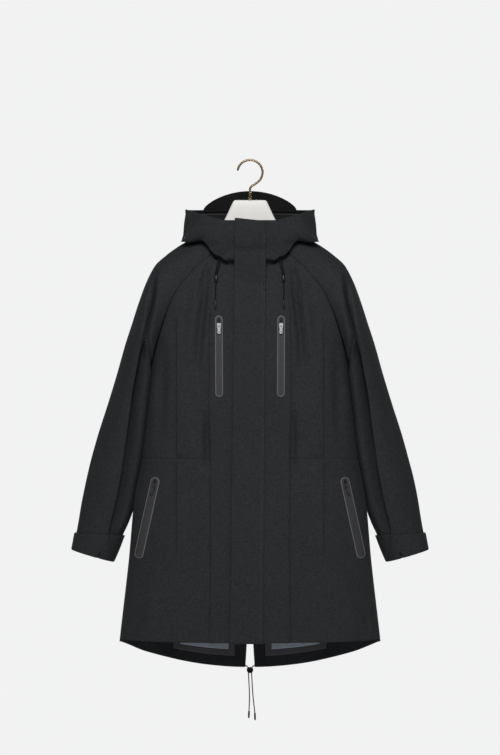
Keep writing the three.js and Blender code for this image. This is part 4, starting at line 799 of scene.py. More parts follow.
def arm_edge(face, row):
    """The sleeve's edge on a face at rows down it: the raglan seam, and below it the seam under the arm."""
    of = {name: along(ARM, "row", row, name) for name in ARM}
    z = of[face + "_z"]
    seam_x = along(RAGLAN, face + "_z", z, face + "_x") + SEAM_GAP + ARMPIT_GAP * of["closed"]
    rest_y = of["behind"] + (-UNDERARM_GAP if face == "front" else UNDERARM_GAP)
    below_x = lerp(body_side(rest_y, z), of["inner_x"], smooth_step(row, *ARM_LEAVES))
    x = np.where(row < ARMPIT_ROW, seam_x, below_x)
    body_y = torso_at(face, x, z)[0][..., 1]
    return x, np.where(row < ARMPIT_ROW, body_y, rest_y), z


def arm_points(side, row, turn):
    """Points of the sleeve before its folds, at grids of rows down it and turns round it in radians."""
    of = {name: along(ARM, "row", row, name) for name in ARM}
    whole_rows = ARM["row"]
    edges = {}
    for face in ("front", "back"):
        x, y, z = arm_edge(face, row)
        smooth_y = along({"row": whole_rows, "y": arm_edge(face, whole_rows)[1]}, "row", row, "y")
        from_seam = np.degrees(np.minimum(turn, math.pi - turn))
        edges[face] = (x, lerp(y, smooth_y, smooth_step(from_seam, *ARM_EASE)), z)
    front = turn < math.pi / 2
    from_x, from_y, from_z = (np.where(front, f, b) for f, b in zip(edges["front"], edges["back"]))
    sine = np.sin(turn)
    reach = lerp(sine, sine**2, of["closed"])
    depth = of["half_depth"] * of["closed"] * np.sin(2 * turn)
    y = of["behind"] + (from_y - of["behind"]) * np.abs(np.cos(turn)) - depth
    x = lerp(from_x, of["outer_x"], reach)
    z = lerp(from_z, of["outer_z"], reach)
    hugging = smooth_step(row, *ARM_HUG_STARTS) * (1 - smooth_step(row, *ARM_HUG_FADES))
    for hug in rows_of(ARM_HUG):
        x = x - hugging * hug["inward"] * bump(np.degrees(turn) - hug["turn"], hug["width"])
    beside = smooth_step(row, ARMPIT_ROW - 0.6, ARMPIT_ROW)
    x = np.where(beside > 0, np.maximum(x, body_side(y, z) * beside), x)
    return np.stack([side * x, y, z], axis=-1)


def body_side(y, z):
    """How far across the body's side reaches at a depth and a height, with the sleeve's clearance."""
    depth = along(TORSO, "z", z, "front") * (y < 0) + along(TORSO, "z", z, "back") * (y >= 0)
    share = np.minimum(np.abs(y) / depth, 1)
    return along(TORSO, "z", z, "half_width") * (1 - share**ROUNDNESS) ** (1 / ROUNDNESS) + ARM_CLEARANCE


@functools.lru_cache(maxsize=1)
def lap_line():
    """Rows down the sleeve, and the turn in degrees at which each one meets the line of the long fold."""
    rows = np.linspace(0, LAST_ROW, 73)
    turns = np.linspace(*LAP_TURNS, 281)
    row, turn = np.meshgrid(rows, turns, indexing="ij")
    points = arm_points(1, row, np.radians(turn))
    beyond = points[..., 0] > along(LAP_LINE, "z", points[..., 2], "x")
    met = np.where(beyond.any(axis=1), turns[beyond.argmax(axis=1)], LAP_TURNS[1])
    weights = np.array([0.25, 0.5, 0.25])
    return rows, np.convolve(np.pad(met, 1, mode="edge"), weights, mode="valid")


def lap_turn(row):
    return np.interp(row, *lap_line())


def arm_lift(side, row, turn):
    """How far the sleeve's folds move its cloth."""
    degrees = np.degrees(turn)
    lap = {name: along(ARM_LAP, "row", row, name) for name in ARM_LAP}
    inside = lap_turn(row) - degrees
    over = smooth_step(inside, 0, LAP_EDGE)
    drop = lap["drop"] * over * bump(np.maximum(inside - LAP_FLOOR, 0), LAP_RISE)
    lift = lap["crest"] * bump(inside, LAP_CREST) * (1 - over) - drop
    for fold in rows_of(ARM_FOLDS):
        t = np.clip((row - fold["first_row"]) / (fold["last_row"] - fold["first_row"]), 0, 1)
        centre = fold["turn"] + fold["lean"] * (t - 0.5)
        on_side = 1 if fold["side"] in (0, side) else 0
        lift = lift + on_side * fold["depth"] * np.sin(np.pi * t) ** 0.8 * bump(degrees - centre, fold["width"])
    return lift


def arm_grid(rows, columns=84):
    """Rows and turns of the sleeve's grid. Its columns follow the edge of the long lapped fold."""
    share = np.concatenate([np.linspace(0, LAP_SHARE, columns // 3), np.linspace(LAP_SHARE, 1, columns),
                            LAP_SHARE + np.linspace(-1, 1, 21) * LAP_SHARE_NEAR])
    share = np.unique(share)[None, :]
    row = np.broadcast_to(rows[:, None], (len(rows), share.shape[1]))
    lap = lap_turn(row)
    inner = share / LAP_SHARE * lap
    outer = lerp(lap, 180, (share - LAP_SHARE) / (1 - LAP_SHARE))
    return row, np.radians(np.where(share < LAP_SHARE, inner, outer))


def sleeve(side):
    """A sleeve from the neck to the wrist, with its long fold."""
    rows = np.concatenate([np.linspace(0, ARMPIT_ROW, 70), np.linspace(ARMPIT_ROW, LAST_ROW, 100)[1:]])
    row, turn = arm_grid(rows)
    points = arm_points(side, row, turn)
    normals = grid_normals(points) * -side
    edge = np.linalg.norm(points - points[:, :1], axis=-1), np.linalg.norm(points - points[:, -1:], axis=-1)
    seam = seam_dip(np.minimum(*edge))
    lift = arm_lift(side, row, turn) + seam * (row < ARMPIT_ROW)
    return shell("sleeve_cloth_" + side_name(side), points + normals * lift[..., None], normals)


def cuff_places(side, row, turn, offset=0.0):
    """Points and outward directions of the cuff's band."""
    form = arm_points(side, row, turn)
    out = grid_normals(form) * -side
    share = (row - CUFF_ROW) / (LAST_ROW - CUFF_ROW)
    swell = 0.0007 * np.sin(np.pi * np.clip(share, 0, 1)) ** 0.6
    stand = 0.0036 + 0.0012 * (1 - share) + swell + 0.3 * arm_lift(side, row, turn) + offset
    return form + out * stand[..., None], out


def cuff(side):
    """The turned-up band at the wrist, with a notch in its front."""
    row, turn = np.meshgrid(np.linspace(CUFF_ROW, LAST_ROW, 34), np.radians(180 * spread(120, 0.3)), indexing="ij")
    points, out = cuff_places(side, row, turn)
    notch = np.abs(np.degrees(turn) - CUFF_NOTCH_TURN) < CUFF_NOTCH_HALF
    below = (row - CUFF_ROW) / (LAST_ROW - CUFF_ROW) > CUFF_NOTCH_SHARE
    return shell("cuff_cloth_" + side_name(side), points, out, 0.0024, keep=~(notch & below)[:-1, :-1])


def neck_point(side, turn):
    """Points of the neck seam at turns round it in degrees, from 0 in front to 180 behind."""
    front_x = side * lerp(0, NECK_CORNER_X, turn / 40)
    front = torso_at("front", front_x, neck_front_z(front_x))[0]
    back_x = side * lerp(NECK_BACK_X, 0, (turn - 140) / 40)
    back = torso_at("back", back_x, np.full_like(back_x, NECK_BACK_Z))[0]
    arm_turn = math.pi * np.clip((turn - 40) / 100, 0, 1)
    over = arm_points(side, np.zeros_like(arm_turn), arm_turn)
    return np.where((turn <= 40)[:, None], front, np.where((turn >= 140)[:, None], back, over))


def hood_loop(side, turn, index):
    """One loop of the hood at turns from 0 in front to 180 behind, for one side."""
    angle = np.radians(turn)
    if index < 0:
        points = neck_point(side, turn)
        inward = unit(points * np.array([-1, -1, 0]))
        tucked = index == -2
        points = points + inward * HOOD_INSET[0 if tucked else 1]
        rise = -HOOD_DROP * np.abs(np.cos(angle)) if tucked else HOOD_STAND
        return points + np.array([0, 0, 1]) * np.reshape(rise, (-1, 1))
    level = {name: HOOD[name][index] for name in HOOD}
    power = 2 / level["square"]
    half_width = level["half_width"] if index == 0 else HOOD_WING["side_x"][index - 1]
    x = half_width * np.sin(angle) ** power
    ahead = np.abs(np.cos(angle)) ** power
    front = turn <= 90
    y = np.where(front, -ahead * level["front"], ahead * level["back"])
    z = lerp(np.where(front, level["front_z"], level["back_z"]), level["side_z"], np.sin(angle) ** 2)
    if index > 0:
        wing = hood_wing(turn, index)
        x, y, z = (np.where(front, of_wing, of_back) for of_wing, of_back in zip(wing, (x, y, z)))
    return np.stack([side * x, y, z], axis=-1)


def hood_wing(turn, index):
    """The hood's front from its middle to the ridge, and its side from there to a turn of 90."""
    wing = {name: HOOD_WING[name][index - 1] for name in HOOD_WING}
    ahead = np.clip(turn / HOOD_RIDGE_TURN, 0, 1)
    behind = np.clip((turn - HOOD_RIDGE_TURN) / (90 - HOOD_RIDGE_TURN), 0, 1)
    eased = 1 - (1 - behind) ** HOOD_SIDE_BEND
    x = lerp(wing["ridge_x"] * ahead, wing["side_x"], eased)
    y = lerp(lerp(-HOOD["front"][index], wing["ridge_y"], ahead**HOOD_BEND), 0, behind)
    low = lerp(along(HOOD_EDGE, "x", HOOD_WING["ridge_x"][0] * ahead, "z"), HOOD["side_z"][1], eased)
    high = along(HOOD_RIM, "x", lerp(HOOD_WING["ridge_x"][-1] * ahead, HOOD_WING["side_x"][-1], eased), "z")
    share = lerp(wing["front_share"], wing["side_share"], smooth_step(turn, 0, 90))
    return x, y, lerp(low, high, share)


def hood_half(side, turn, steps_between):
    """The hood's cloth on one side, as a grid of levels by turns, before its folds."""
    loops = np.stack([hood_loop(side, turn, index) for index in range(-2, len(HOOD["front"]))])
    straight = lerp(loops[1], loops[3], 0.45) + np.array(COLLAR_SWELL)
    tucked = smooth_step(np.abs(loops[3][:, 0]), *HOOD_TUCK_X)
    loops[2] = lerp(straight, loops[2], np.maximum(tucked, smooth_step(turn, 80, 100))[:, None])
    keys = np.arange(len(loops), dtype=float)
    fine = np.linspace(0, len(loops) - 1, (len(loops) - 1) * steps_between + 1)
    slopes = np.gradient(loops, axis=0)
    index = np.minimum(fine.astype(int), len(loops) - 2)
    t = (fine - keys[index])[:, None, None]
    start = (2 * t**3 - 3 * t**2 + 1) * loops[index] + (t**3 - 2 * t**2 + t) * slopes[index]
    end = (3 * t**2 - 2 * t**3) * loops[index + 1] + (t**3 - t**2) * slopes[index + 1]
    return start + end, fine - 2


def hood_grid():
    """The hood's whole ring: its points, outward directions and levels."""
    turn = np.unique(np.concatenate([np.linspace(0, 180, 91), np.linspace(18, 50, 49), np.linspace(55, 65, 21)]))
    right, level = hood_half(1, turn, 11)
    left, _ = hood_half(-1, turn, 11)
    points = np.concatenate([right, left[:, ::-1][:, 1:-1]], axis=1)
    turns = np.concatenate([turn, turn[::-1][1:-1]])
    sides = np.concatenate([np.ones(len(turn)), -np.ones(len(turn) - 2)])
    normals = grid_normals(points, closed=True)
    levels, turns = np.broadcast_arrays(level[:, None], turns[None, :])
    lift = np.zeros_like(levels)
    for crease in rows_of(HOOD_CREASES):
        t = np.clip((levels - crease["first_level"]) / (crease["last_level"] - crease["first_level"]), 0, 1)
        centre = crease["turn"] + crease["lean"] * (t - 0.5)
        on_side = (crease["side"] == 0) | (sides[None, :] == crease["side"])
        lift += crease["depth"] * np.sin(np.pi * t) ** 0.7 * bump(turns - centre, crease["width"]) * on_side
    return points + normals * lift[..., None], normals, level, turns[0]


def hood():
    points, normals, _, _ = hood_grid()
    return shell("hood_cloth", points, normals, closed=True)


def brim():
    """The stiff brim behind, which stands on the hood's rim."""
    rim = {name: HOOD[name][-1] for name in HOOD}
    x = np.linspace(-BRIM_HALF, BRIM_HALF, 90)[None, :]
    v = spread(16)[:, None]
    share = np.abs(x) / rim["half_width"]
    y = rim["back"] * (1 - share ** rim["square"]) ** (1 / rim["square"])
    arch = np.clip(1 - (x / BRIM_HALF) ** 2, 0, 1) ** 0.75
    foot = rim["side_z"] + (rim["back_z"] - rim["side_z"]) * (1 - share**2) + BRIM_GAP
    z = foot + (BRIM_END + BRIM_RISE * arch) * v
    points = np.stack([x + 0 * v, y - BRIM_LEAN * v * arch, z], axis=-1)
    normals = unit(np.stack([0.6 * share * np.sign(x) + 0 * v, 1 + 0 * x * v, 0.1 + 0 * x * v], axis=-1))
    return shell("brim_cloth", points, normals, 0.0018)


def collar_y(z):
    """The front of the collar at a height, which carries the flap above the neck seam."""
    base_y = -neck_point(1, np.zeros(1))[0][1] - HOOD_INSET[0]
    rows = table("z front", (NECK_FRONT_Z - HOOD_DROP, base_y), *zip(HOOD["front_z"], HOOD["front"]))
    return -along(rows, "z", z, "front")


def flap_grid(v, u):
    """The storm flap's points and outward directions at shares down and across it."""
    x = lerp(lerp(FLAP_TOP[0], FLAP_HEM[0], v), lerp(FLAP_TOP[1], FLAP_HEM[1], v), u)
    z = lerp(lerp(FLAP_TOP_Z[0], FLAP_TOP_Z[1], u), hem_front_z(x) - 0.0015, v)
    stand = lerp(FLAP_FREE_STAND, FLAP_SEWN_STAND, smooth_step(u, 0, 0.7))
    ripple = 0.0005 * np.sin(z * 21 + 1) * bump(u, 0.35) + 0.0004 * np.sin(z * 34)
    seam = seam_dip(z - FLAP_SEAM_Z - 0.002 * np.sin(u * 3))
    points, normals = torso_at("front", x, np.minimum(z, NECK_FRONT_Z), 0.002 + stand + ripple + seam)
    collar = collar_y(np.maximum(z, NECK_FRONT_Z)) - 0.002 - FLAP_COLLAR_STAND
    points[..., 2] = z
    above = z > NECK_FRONT_Z
    y = np.where(above, np.minimum(collar - seam, points[..., 1]), points[..., 1])
    ends = table("z y", (FLAP_BRIDGE_Z[0], collar_y(FLAP_BRIDGE_Z[0]) - 0.003),
                 (FLAP_BRIDGE_Z[1], -along(TORSO, "z", FLAP_BRIDGE_Z[1], "front") - 0.004))
    bridge = lerp(*ends["y"], np.clip((z - ends["z"][0]) / (ends["z"][1] - ends["z"][0]), 0, 1))
    inside = (z < FLAP_BRIDGE_Z[0]) & (z > FLAP_BRIDGE_Z[1])
    points[..., 1] = np.where(inside, lerp(y, np.minimum(y, bridge - seam), FLAP_BRIDGE), y)
    return points, normals


def storm_flap():
    v = np.concatenate([np.linspace(0, 0.12, 44), np.linspace(0.12, 1, 150)[1:]])[:, None]
    points, normals = flap_grid(v, spread(34)[None, :])
    return shell("flap_cloth", points, normals, 0.0018)


def inside_hood(name, low, high):
    """A piece on the inner face of the hood's back, between two levels."""
    points, normals, levels, turns = hood_grid()
    behind = turns >= NECK_END_TURN
    level = np.linspace(low, high, 9)
    grids = []
    for grid in (points, normals):
        grid = grid[:, behind]
        at = np.interp(level, levels, np.arange(len(levels)))
        below = at.astype(int)
        grids.append(lerp(grid[below], grid[below + 1], (at - below)[:, None, None]))
    inner, out = grids[0] - grids[1] * NECK_DEPTH, -grids[1]
    return shell(name, inner, out, 0.0008)


def inside_back(name, side, across, shares, keep=None):
    """A piece on the inner face of the back's hem: across it, and at shares down to the hem."""
    x, share = np.meshgrid(across, shares)
    z = lerp(VENT_TOP_Z, hem_back_z(x), share)
    points, normals = torso_at("back", side * x, z, -CLOTH - LINING_DEPTH)
    return shell(name, points, -normals, 0.0008, keep=None if keep is None else keep(x, share)[:-1, :-1])


def lining(side):
    across = np.linspace(*LINING_X, 60)
    return inside_back("lining_panel_" + side_name(side), side, across, np.linspace(*LINING_SHARES, 24))


def hem_tape(side):
    """The seam tape beside and below the lining's window."""
    across = np.linspace(*TAPE_X, 80)
    shares = np.linspace(*TAPE_SHARES, 34)

    def round_window(x, share):
        return (x < LINING_X[0]) | (x > LINING_X[1]) | (share > LINING_SHARES[1])

    return inside_back("hem_tape_film_" + side_name(side), side, across, shares, round_window)


def curve(points, count):
    """A smooth route through a few points."""
    points = np.array(points, dtype=float)
    gaps = np.linalg.norm(np.diff(points, axis=0), axis=1)
    rows = dict(zip(("at", "x", "y", "z"), (np.concatenate([[0], gaps.cumsum()]), *points.T)))
    at = np.linspace(0, rows["at"][-1], count)
    return np.stack([along(rows, "at", at, name) for name in "xyz"], axis=1)


def tube(name, path, radius, sides=14, ahead=None, ridges=None):
    """A round closed tube along a path. radius is one number or one for each point of the path."""
    radius = np.broadcast_to(radius, len(path)).astype(float)
    ahead = unit(np.gradient(path, axis=0) if ahead is None else np.broadcast_to(ahead, path.shape))
    reference = (0, 1, 0) if abs(ahead[0][1]) < 0.8 else (0, 0, 1)
    across = unit(np.cross(ahead, reference))
    beside = np.cross(ahead, across)
    turn = np.linspace(0, 2 * math.pi, sides, endpoint=False)
    at = np.concatenate([[0], np.linalg.norm(np.diff(path, axis=0), axis=1).cumsum()])
    reach = np.broadcast_to(radius[:, None], (len(path), sides))
    if ridges is not None:
        wind = 2 * math.pi * at[:, None] / ridges["pitch"]
        reach = reach + ridges["height"] * np.sin(ridges["starts"] * turn + wind)
        if ridges["crossed"]:
            reach = reach + ridges["height"] * np.sin(ridges["starts"] * turn - wind)
    ring = across[:, None] * np.cos(turn)[:, None] + beside[:, None] * np.sin(turn)[:, None]
    points = (path[:, None] + ring * reach[..., None]).reshape(-1, 3)
    row, column = np.divmod(np.arange((len(path) - 1) * sides), sides)
    nxt = (column + 1) % sides
    faces = np.stack([row * sides + column, (row + 1) * sides + column,
                      (row + 1) * sides + nxt, row * sides + nxt], axis=1).tolist()
    last = (len(path) - 1) * sides
    faces.append(list(range(sides)))
    faces.append([last + i for i in range(sides)][::-1])
    uv = np.stack(np.broadcast_arrays(turn * radius.max(), at[:, None]), axis=-1).reshape(-1, 2)
    return new_object(name, points, faces, uv)


def turned(name, start, end, profile, sides=32):
    """A turned piece from a start to an end, by a profile of shares along it and radii."""
    shares, radii = np.array(profile, dtype=float).T
    start, end = np.array(start, dtype=float), np.array(end, dtype=float)
    return tube(name, lerp(start, end, shares[:, None]), radii, sides, ahead=end - start)


def zip_places(way, side, distance, across, offset):
    """Places in a zip's own frame on the panel: down along it, across it and out of the cloth."""
    start, end = np.array(way["top"]), np.array(way["bottom"])
    down = (end - start) / np.linalg.norm(end - start)
    x = start[0] + down[0] * distance - down[1] * across
    z = start[1] + down[1] * distance + down[0] * across
    rise = pleat_rise(x, z) if way["top"][0] < PLEAT_UNDER_X else 0
    return torso_at("front", side * x, z, rise + offset)


def zip_length(way):
    return float(np.hypot(*(np.array(way["bottom"]) - np.array(way["top"]))))


def stadium(length, radius, count=20):
    """A stadium's outline as distances along it and across it."""
    arc = np.linspace(-math.pi / 2, math.pi / 2, count)
    straight = np.linspace(radius, length - radius, 60)[1:-1]
    along_it = np.concatenate([radius - radius * np.cos(arc), straight,
                               length - radius + radius * np.cos(arc), straight[::-1]])
    across = np.concatenate([radius * np.sin(arc), np.full(58, radius), -radius * np.sin(arc), np.full(58, -radius)])
    return along_it, across


def zip_border(kind, side):
    """The welded film round a zip, with a soft rounded profile."""
    way = ZIPS[kind]
    length, radius = zip_length(way), way["width"] / 2
    points, normals = [], []
    for share in np.linspace(0, 1, 9):
        inset = ZIP_RING * share
        distance, across = stadium(length - 2 * inset, radius - inset)
        height = ZIP_EDGE + ZIP_SWELL * math.sin(math.pi * lerp(0.03, 0.9, share)) ** 0.5
        ring, out = zip_places(way, side, distance + inset, across, height)
        points.append(ring)
        normals.append(out)
    name = kind + "_zip_border_" + side_name(side)
    return shell(name, np.array(points), np.array(normals), ZIP_EDGE, closed=True)


def zip_cover(kind, side):
    """The coated tape inside the border: two lips that meet in a groove, ribbed by the coil below."""
    way = ZIPS[kind]
    inset = ZIP_RING - 0.0003
    length, half = zip_length(way) - 2 * inset, way["width"] / 2 - inset
    distance = np.linspace(0, length, 460)[:, None]
    to_end = np.minimum(np.minimum(distance, length - distance), half)
    reach = np.sqrt(np.maximum(half**2 - (half - to_end) ** 2, (0.25 * half) ** 2))
    u = np.unique(np.concatenate([np.linspace(-1, 1, 21), np.linspace(-0.16, 0.16, 9)]))[None, :]
    across = u * reach
    groove = -0.00045 * bump(across, 0.00042)
    ribs = 0.00012 * np.sin(2 * math.pi * distance / ZIP_PITCH) * bump(np.abs(across) - 0.0017, 0.0011)
    points, normals = zip_places(way, side, distance + inset, across, ZIP_COVER + groove + ribs)
    return shell(kind + "_zip_cover_" + side_name(side), points, normals, 0.0005)


def zip_garage(kind, side):
    """The dark oval above the slider, where it parks."""
    way = ZIPS[kind]
    length = way["slider_at"] - 0.0055 - ZIP_GARAGE["start"]
    points, normals = [], []
    for share in (0.02, 0.4, 0.8, 1):
        distance, across = stadium(length, ZIP_GARAGE["half"], 16)
        distance = lerp(length / 2, distance, share) + ZIP_GARAGE["start"]
        ring, out = zip_places(way, side, distance, across * share, ZIP_COVER + 0.0009 - 0.0003 * share**4)
        points.append(ring)
        normals.append(out)
    return shell(kind + "_zip_garage_" + side_name(side), np.array(points), np.array(normals), 0.0005, closed=True)


def hanger_shape():
    """The hanger's body: rounded sections lofted from the end of one arm to the other."""
    x = np.linspace(-0.202, 0.202, 203)
    of = {name: along(HANGER, "x", np.abs(x), name)[:, None] for name in HANGER}
    turn = np.linspace(0, 2 * math.pi, 40, endpoint=False)[None, :]
    y = of["half_depth"] * np.sign(np.cos(turn)) * np.abs(np.cos(turn)) ** 0.6
    middle, half = (of["top"] + of["bottom"]) / 2, (of["top"] - of["bottom"]) / 2
    z = middle + half * np.sign(np.sin(turn)) * np.abs(np.sin(turn)) ** 0.9
    points = np.stack([np.broadcast_to(x[:, None], y.shape), y, z], axis=-1)
    row, column = np.divmod(np.arange((len(x) - 1) * 40), 40)
    nxt = (column + 1) % 40
    faces = np.stack([row * 40 + column, row * 40 + nxt, (row + 1) * 40 + nxt, (row + 1) * 40 + column], axis=1).tolist()
    last = (len(x) - 1) * 40
    faces.append(list(range(40))[::-1])
    faces.append([last + i for i in range(40)])
    return new_object("hanger_shell", points.reshape(-1, 3), faces)


def hook_wire():
    """The hook's knurled wire, from its tip round and down to the shaft."""
    angle = np.radians([HOOK_TIP_TURN, 150, 125, 100, 75, 50, 25, 0])
    bend = [(HOOK_RADIUS * math.cos(a), 0, HOOK_CENTRE_Z + HOOK_RADIUS * math.sin(a)) for a in angle]
    path = curve([*bend, *((x, 0, z) for x, z in HOOK_NECK)], 620)
    tip = np.minimum(np.arange(620) / 14, 1)
    radius = HOOK_WIRE * np.sqrt(1 - (1 - tip) ** 2 * 0.8)
    return tube("hook_wire", path, radius, 24, ridges=KNURL)


def stitches(name, path, normals, pitch=0.0034, length=0.0024, width=0.0006, height=0.0004):
    """A row of stitches along a line on the cloth: a small closed lozenge for each."""
    at = np.concatenate([[0], np.linalg.norm(np.diff(path, axis=0), axis=1).cumsum()])
    places = np.arange(pitch / 2, at[-1], pitch)
    middle = np.stack([np.interp(places, at, path[:, i]) for i in range(3)], axis=1)
    out = unit(np.stack([np.interp(places, at, normals[:, i]) for i in range(3)], axis=1))
    ahead = unit(np.stack([np.interp(places, at, np.gradient(path[:, i])) for i in range(3)], axis=1))
    across = unit(np.cross(ahead, out))
    corners = [ahead * length / 2, across * width / 2, -ahead * length / 2, -across * width / 2,
               out * height, -out * height]
    vertices = (middle[:, None] + np.stack(corners, axis=1)).reshape(-1, 3)
    one = np.array([(0, 1, 4), (1, 2, 4), (2, 3, 4), (3, 0, 4), (1, 0, 5), (2, 1, 5), (3, 2, 5), (0, 3, 5)])
    faces = (one[None] + 6 * np.arange(len(places))[:, None, None]).reshape(-1, 3)
    return new_object(name, vertices, faces.tolist())


# Camera and light
CAMERA_DISTANCE = 8.0
CAMERA_HEIGHT = -0.487
VIEW_HEIGHT = 1.69875
SENSOR = 36.0
FLOOR_Z = -1.80
FLOOR_RADIUS = 2.6
AMBIENT = 0.17


def node(tree, kind, settings=None, inputs=None):
    """A shader node with its settings and its inputs, which are values or other nodes' outputs."""
    made = tree.nodes.new("ShaderNode" + kind)
    for name, value in (settings or {}).items():
        setattr(made, name, value)
    for name, value in (inputs or {}).items():
        if isinstance(value, bpy.types.NodeSocket):
            tree.links.new(value, made.inputs[name])
        else:
            made.inputs[name].default_value = value
    return made


def new_material(name, shader_values):
    """A material with a principled shader, its node tree and the shader."""
    made = bpy.data.materials.new(name)
    made.use_nodes = True
    tree = made.node_tree
    shader = tree.nodes["Principled BSDF"]
    for socket, value in shader_values.items():
        shader.inputs[socket].default_value = value
    return made, tree, shader


def noise(tree, vector, scale, detail=2.0, roughness=0.5):
    return node(tree, "TexNoise", None, {
        "Vector": vector, "Scale": scale, "Detail": detail, "Roughness": roughness}).outputs["Fac"]


def threads(tree, vector, direction, pitch):
    """Parallel threads of a pitch in metres, as heights from 0 to 1."""
    return node(tree, "TexWave", {"bands_direction": direction}, {
        "Vector": vector, "Scale": 2 * math.pi / (20 * pitch), "Distortion": 0.0}).outputs["Fac"]


def maths(tree, operation, first, second):
    return node(tree, "Math", {"operation": operation}, {0: first, 1: second}).outputs[0]


def mixed(tree, share, low, high):
    """A colour between two, by a share."""
    made = node(tree, "Mix", {"data_type": "RGBA"}, {"Factor": share})
    made.inputs["A"].default_value = (*low, 1)
    made.inputs["B"].default_value = (*high, 1)
    colour = [socket for socket in made.inputs if socket.type == "RGBA"]
    colour[0].default_value = (*low, 1)
    colour[1].default_value = (*high, 1)
    return [socket for socket in made.outputs if socket.type == "RGBA"][0]


def bumps(tree, height, strength, distance, below=None):
    inputs = {"Height": height, "Strength": strength, "Distance": distance}
    if below is not None:
        inputs["Normal"] = below
    return node(tree, "Bump", None, inputs).outputs["Normal"]


def woven(name, dark, light, pitch, roughness, sheen):
    """Closely woven matte cloth: threads both ways, uneven yarns, soft rumples and a mottled tone."""
    made, tree, shader = new_material(name, {
        "Roughness": roughness, "Sheen Weight": sheen, "Sheen Roughness": 0.45,
        "Specular IOR Level": 0.15})
    flat = node(tree, "UVMap", {"uv_map": "flat"}).outputs["UV"]
    place = node(tree, "TexCoord").outputs["Object"]
    weave = maths(tree, "MULTIPLY", threads(tree, flat, "X", pitch), threads(tree, flat, "Y", pitch))
    long_x = node(tree, "Mapping", None, {"Vector": flat, "Scale": (0.12, 1, 1)}).outputs["Vector"]
    long_y = node(tree, "Mapping", None, {"Vector": flat, "Scale": (1, 0.12, 1)}).outputs["Vector"]
    yarns = maths(tree, "ADD", noise(tree, long_x, 900), noise(tree, long_y, 900))
    rumple = noise(tree, place, 46, 3, 0.55)
    broad = noise(tree, place, 13, 2, 0.5)
    speckle = noise(tree, place, 330, 3, 0.7)
    tone = maths(tree, "ADD", maths(tree, "MULTIPLY", yarns, 0.15), maths(tree, "MULTIPLY", broad, 0.25))
    tone = maths(tree, "ADD", tone, maths(tree, "MULTIPLY", maths(tree, "SUBTRACT", speckle, 0.44), 3.6))
    tree.links.new(mixed(tree, tone, dark, light), shader.inputs["Base Color"])
    normal = bumps(tree, broad, 0.35, 0.006)
    normal = bumps(tree, rumple, 0.22, 0.0016, normal)
    normal = bumps(tree, yarns, 0.10, 0.0004, normal)
    normal = bumps(tree, weave, 0.20, 0.0003, normal)
    tree.links.new(normal, shader.inputs["Normal"])
    return made


def film(name, dark, light, roughness, grain, metallic=0.0, gloss=0.5, bump_depth=0.0002):
    """A smooth finish with a fine grain, for film, lacquer, plastic and metal."""
    made, tree, shader = new_material(name, {"Metallic": metallic, "Specular IOR Level": gloss})
    place = node(tree, "TexCoord").outputs["Object"]
    fine = noise(tree, place, grain, 4, 0.6)
    broad = noise(tree, place, grain / 18, 2, 0.5)
    tree.links.new(mixed(tree, broad, dark, light), shader.inputs["Base Color"])
    rough = maths(tree, "ADD", maths(tree, "MULTIPLY", fine, 0.16), roughness - 0.08)
    tree.links.new(rough, shader.inputs["Roughness"])
    tree.links.new(bumps(tree, fine, 0.25, bump_depth), shader.inputs["Normal"])
    return made


def finishes():
    """Every material by the record's slot."""
    return {
        "cloth": woven("charcoal_cloth", (0.0105, 0.0114, 0.0129), (0.0215, 0.0234, 0.0264), 0.0006, 0.80, 0.02),
        # A near-black copy of the charcoal cloth: painted shade for the brim, which sits deep inside the hood
        "inside": woven("cloth_painted_shade", (0.0040, 0.0040, 0.0043), (0.0070, 0.0070, 0.0074), 0.0006, 0.85, 0.0),
        "thread": woven("sewing_thread", (0.060, 0.063, 0.068), (0.090, 0.094, 0.100), 0.0006, 0.6, 0.05),
        # A lighter copy of the cloth: painted light on the neck band, which lies in shade deep inside the hood
        "band": woven("neck_band_painted_light", (0.060, 0.060, 0.064), (0.085, 0.085, 0.090), 0.0006, 0.8, 0.0),
        # A brighter copy of the lining's colour: painted light on the neck lining, which lies in shade deep inside
        # the hood
        "pale": woven("neck_lining_cloth", (0.58, 0.61, 0.67), (0.72, 0.75, 0.80), 0.0009, 0.6, 0.05),
        "zip_frame": film("welded_film", (0.085, 0.087, 0.093), (0.110, 0.112, 0.119), 0.5, 700, gloss=0.3),
        "zip_tape": film("zip_tape_film", (0.028, 0.027, 0.029), (0.038, 0.037, 0.039), 0.62, 900, gloss=0.2),
        "dark_pull": film("coated_metal", (0.018, 0.018, 0.019), (0.030, 0.030, 0.031), 0.45, 1200, gloss=0.3),
        "garage": film("zip_garage_film", (0.006, 0.006, 0.007), (0.010, 0.010, 0.011), 0.6, 900, gloss=0.15),
        "zip_metal": film("dark_metal", (0.15, 0.15, 0.155), (0.27, 0.27, 0.275), 0.32, 1200, 0.9),
        "cord": film("braided_cord", (0.0040, 0.0045, 0.0075), (0.008, 0.009, 0.014), 0.8, 1500, gloss=0.08),
        "fitting": film("moulded_plastic", (0.006, 0.006, 0.008), (0.010, 0.010, 0.012), 0.40, 800, gloss=0.25),
        "lining": woven("pale_lining", (0.21, 0.24, 0.29), (0.29, 0.335, 0.39), 0.0009, 0.6, 0.05),
        "seam_tape": film("seam_tape_film", (0.036, 0.033, 0.042), (0.050, 0.046, 0.057), 0.5, 500, gloss=0.3),
        "hanger": film("hanger_lacquer", (0.60, 0.595, 0.58), (0.66, 0.655, 0.64), 0.5, 600, gloss=0.35),
        "hook": film("bronze_wire", (0.15, 0.105, 0.055), (0.26, 0.185, 0.10), 0.38, 1600, 1.0),
        "shaft": film("brass_shaft", (0.42, 0.31, 0.15), (0.52, 0.39, 0.20), 0.28, 1400, 1.0),
    }


def dress(made, slot, finish, replaced=None, look=None):
    """Gives an object its finish, makes it ride on the fixed body and hides the nodes that it replaces."""
    made.data.materials.clear()
    made.data.materials.append(finish[look or slot])
    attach(made, "root")
    if replaced:
        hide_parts(*replaced.split())
    return made


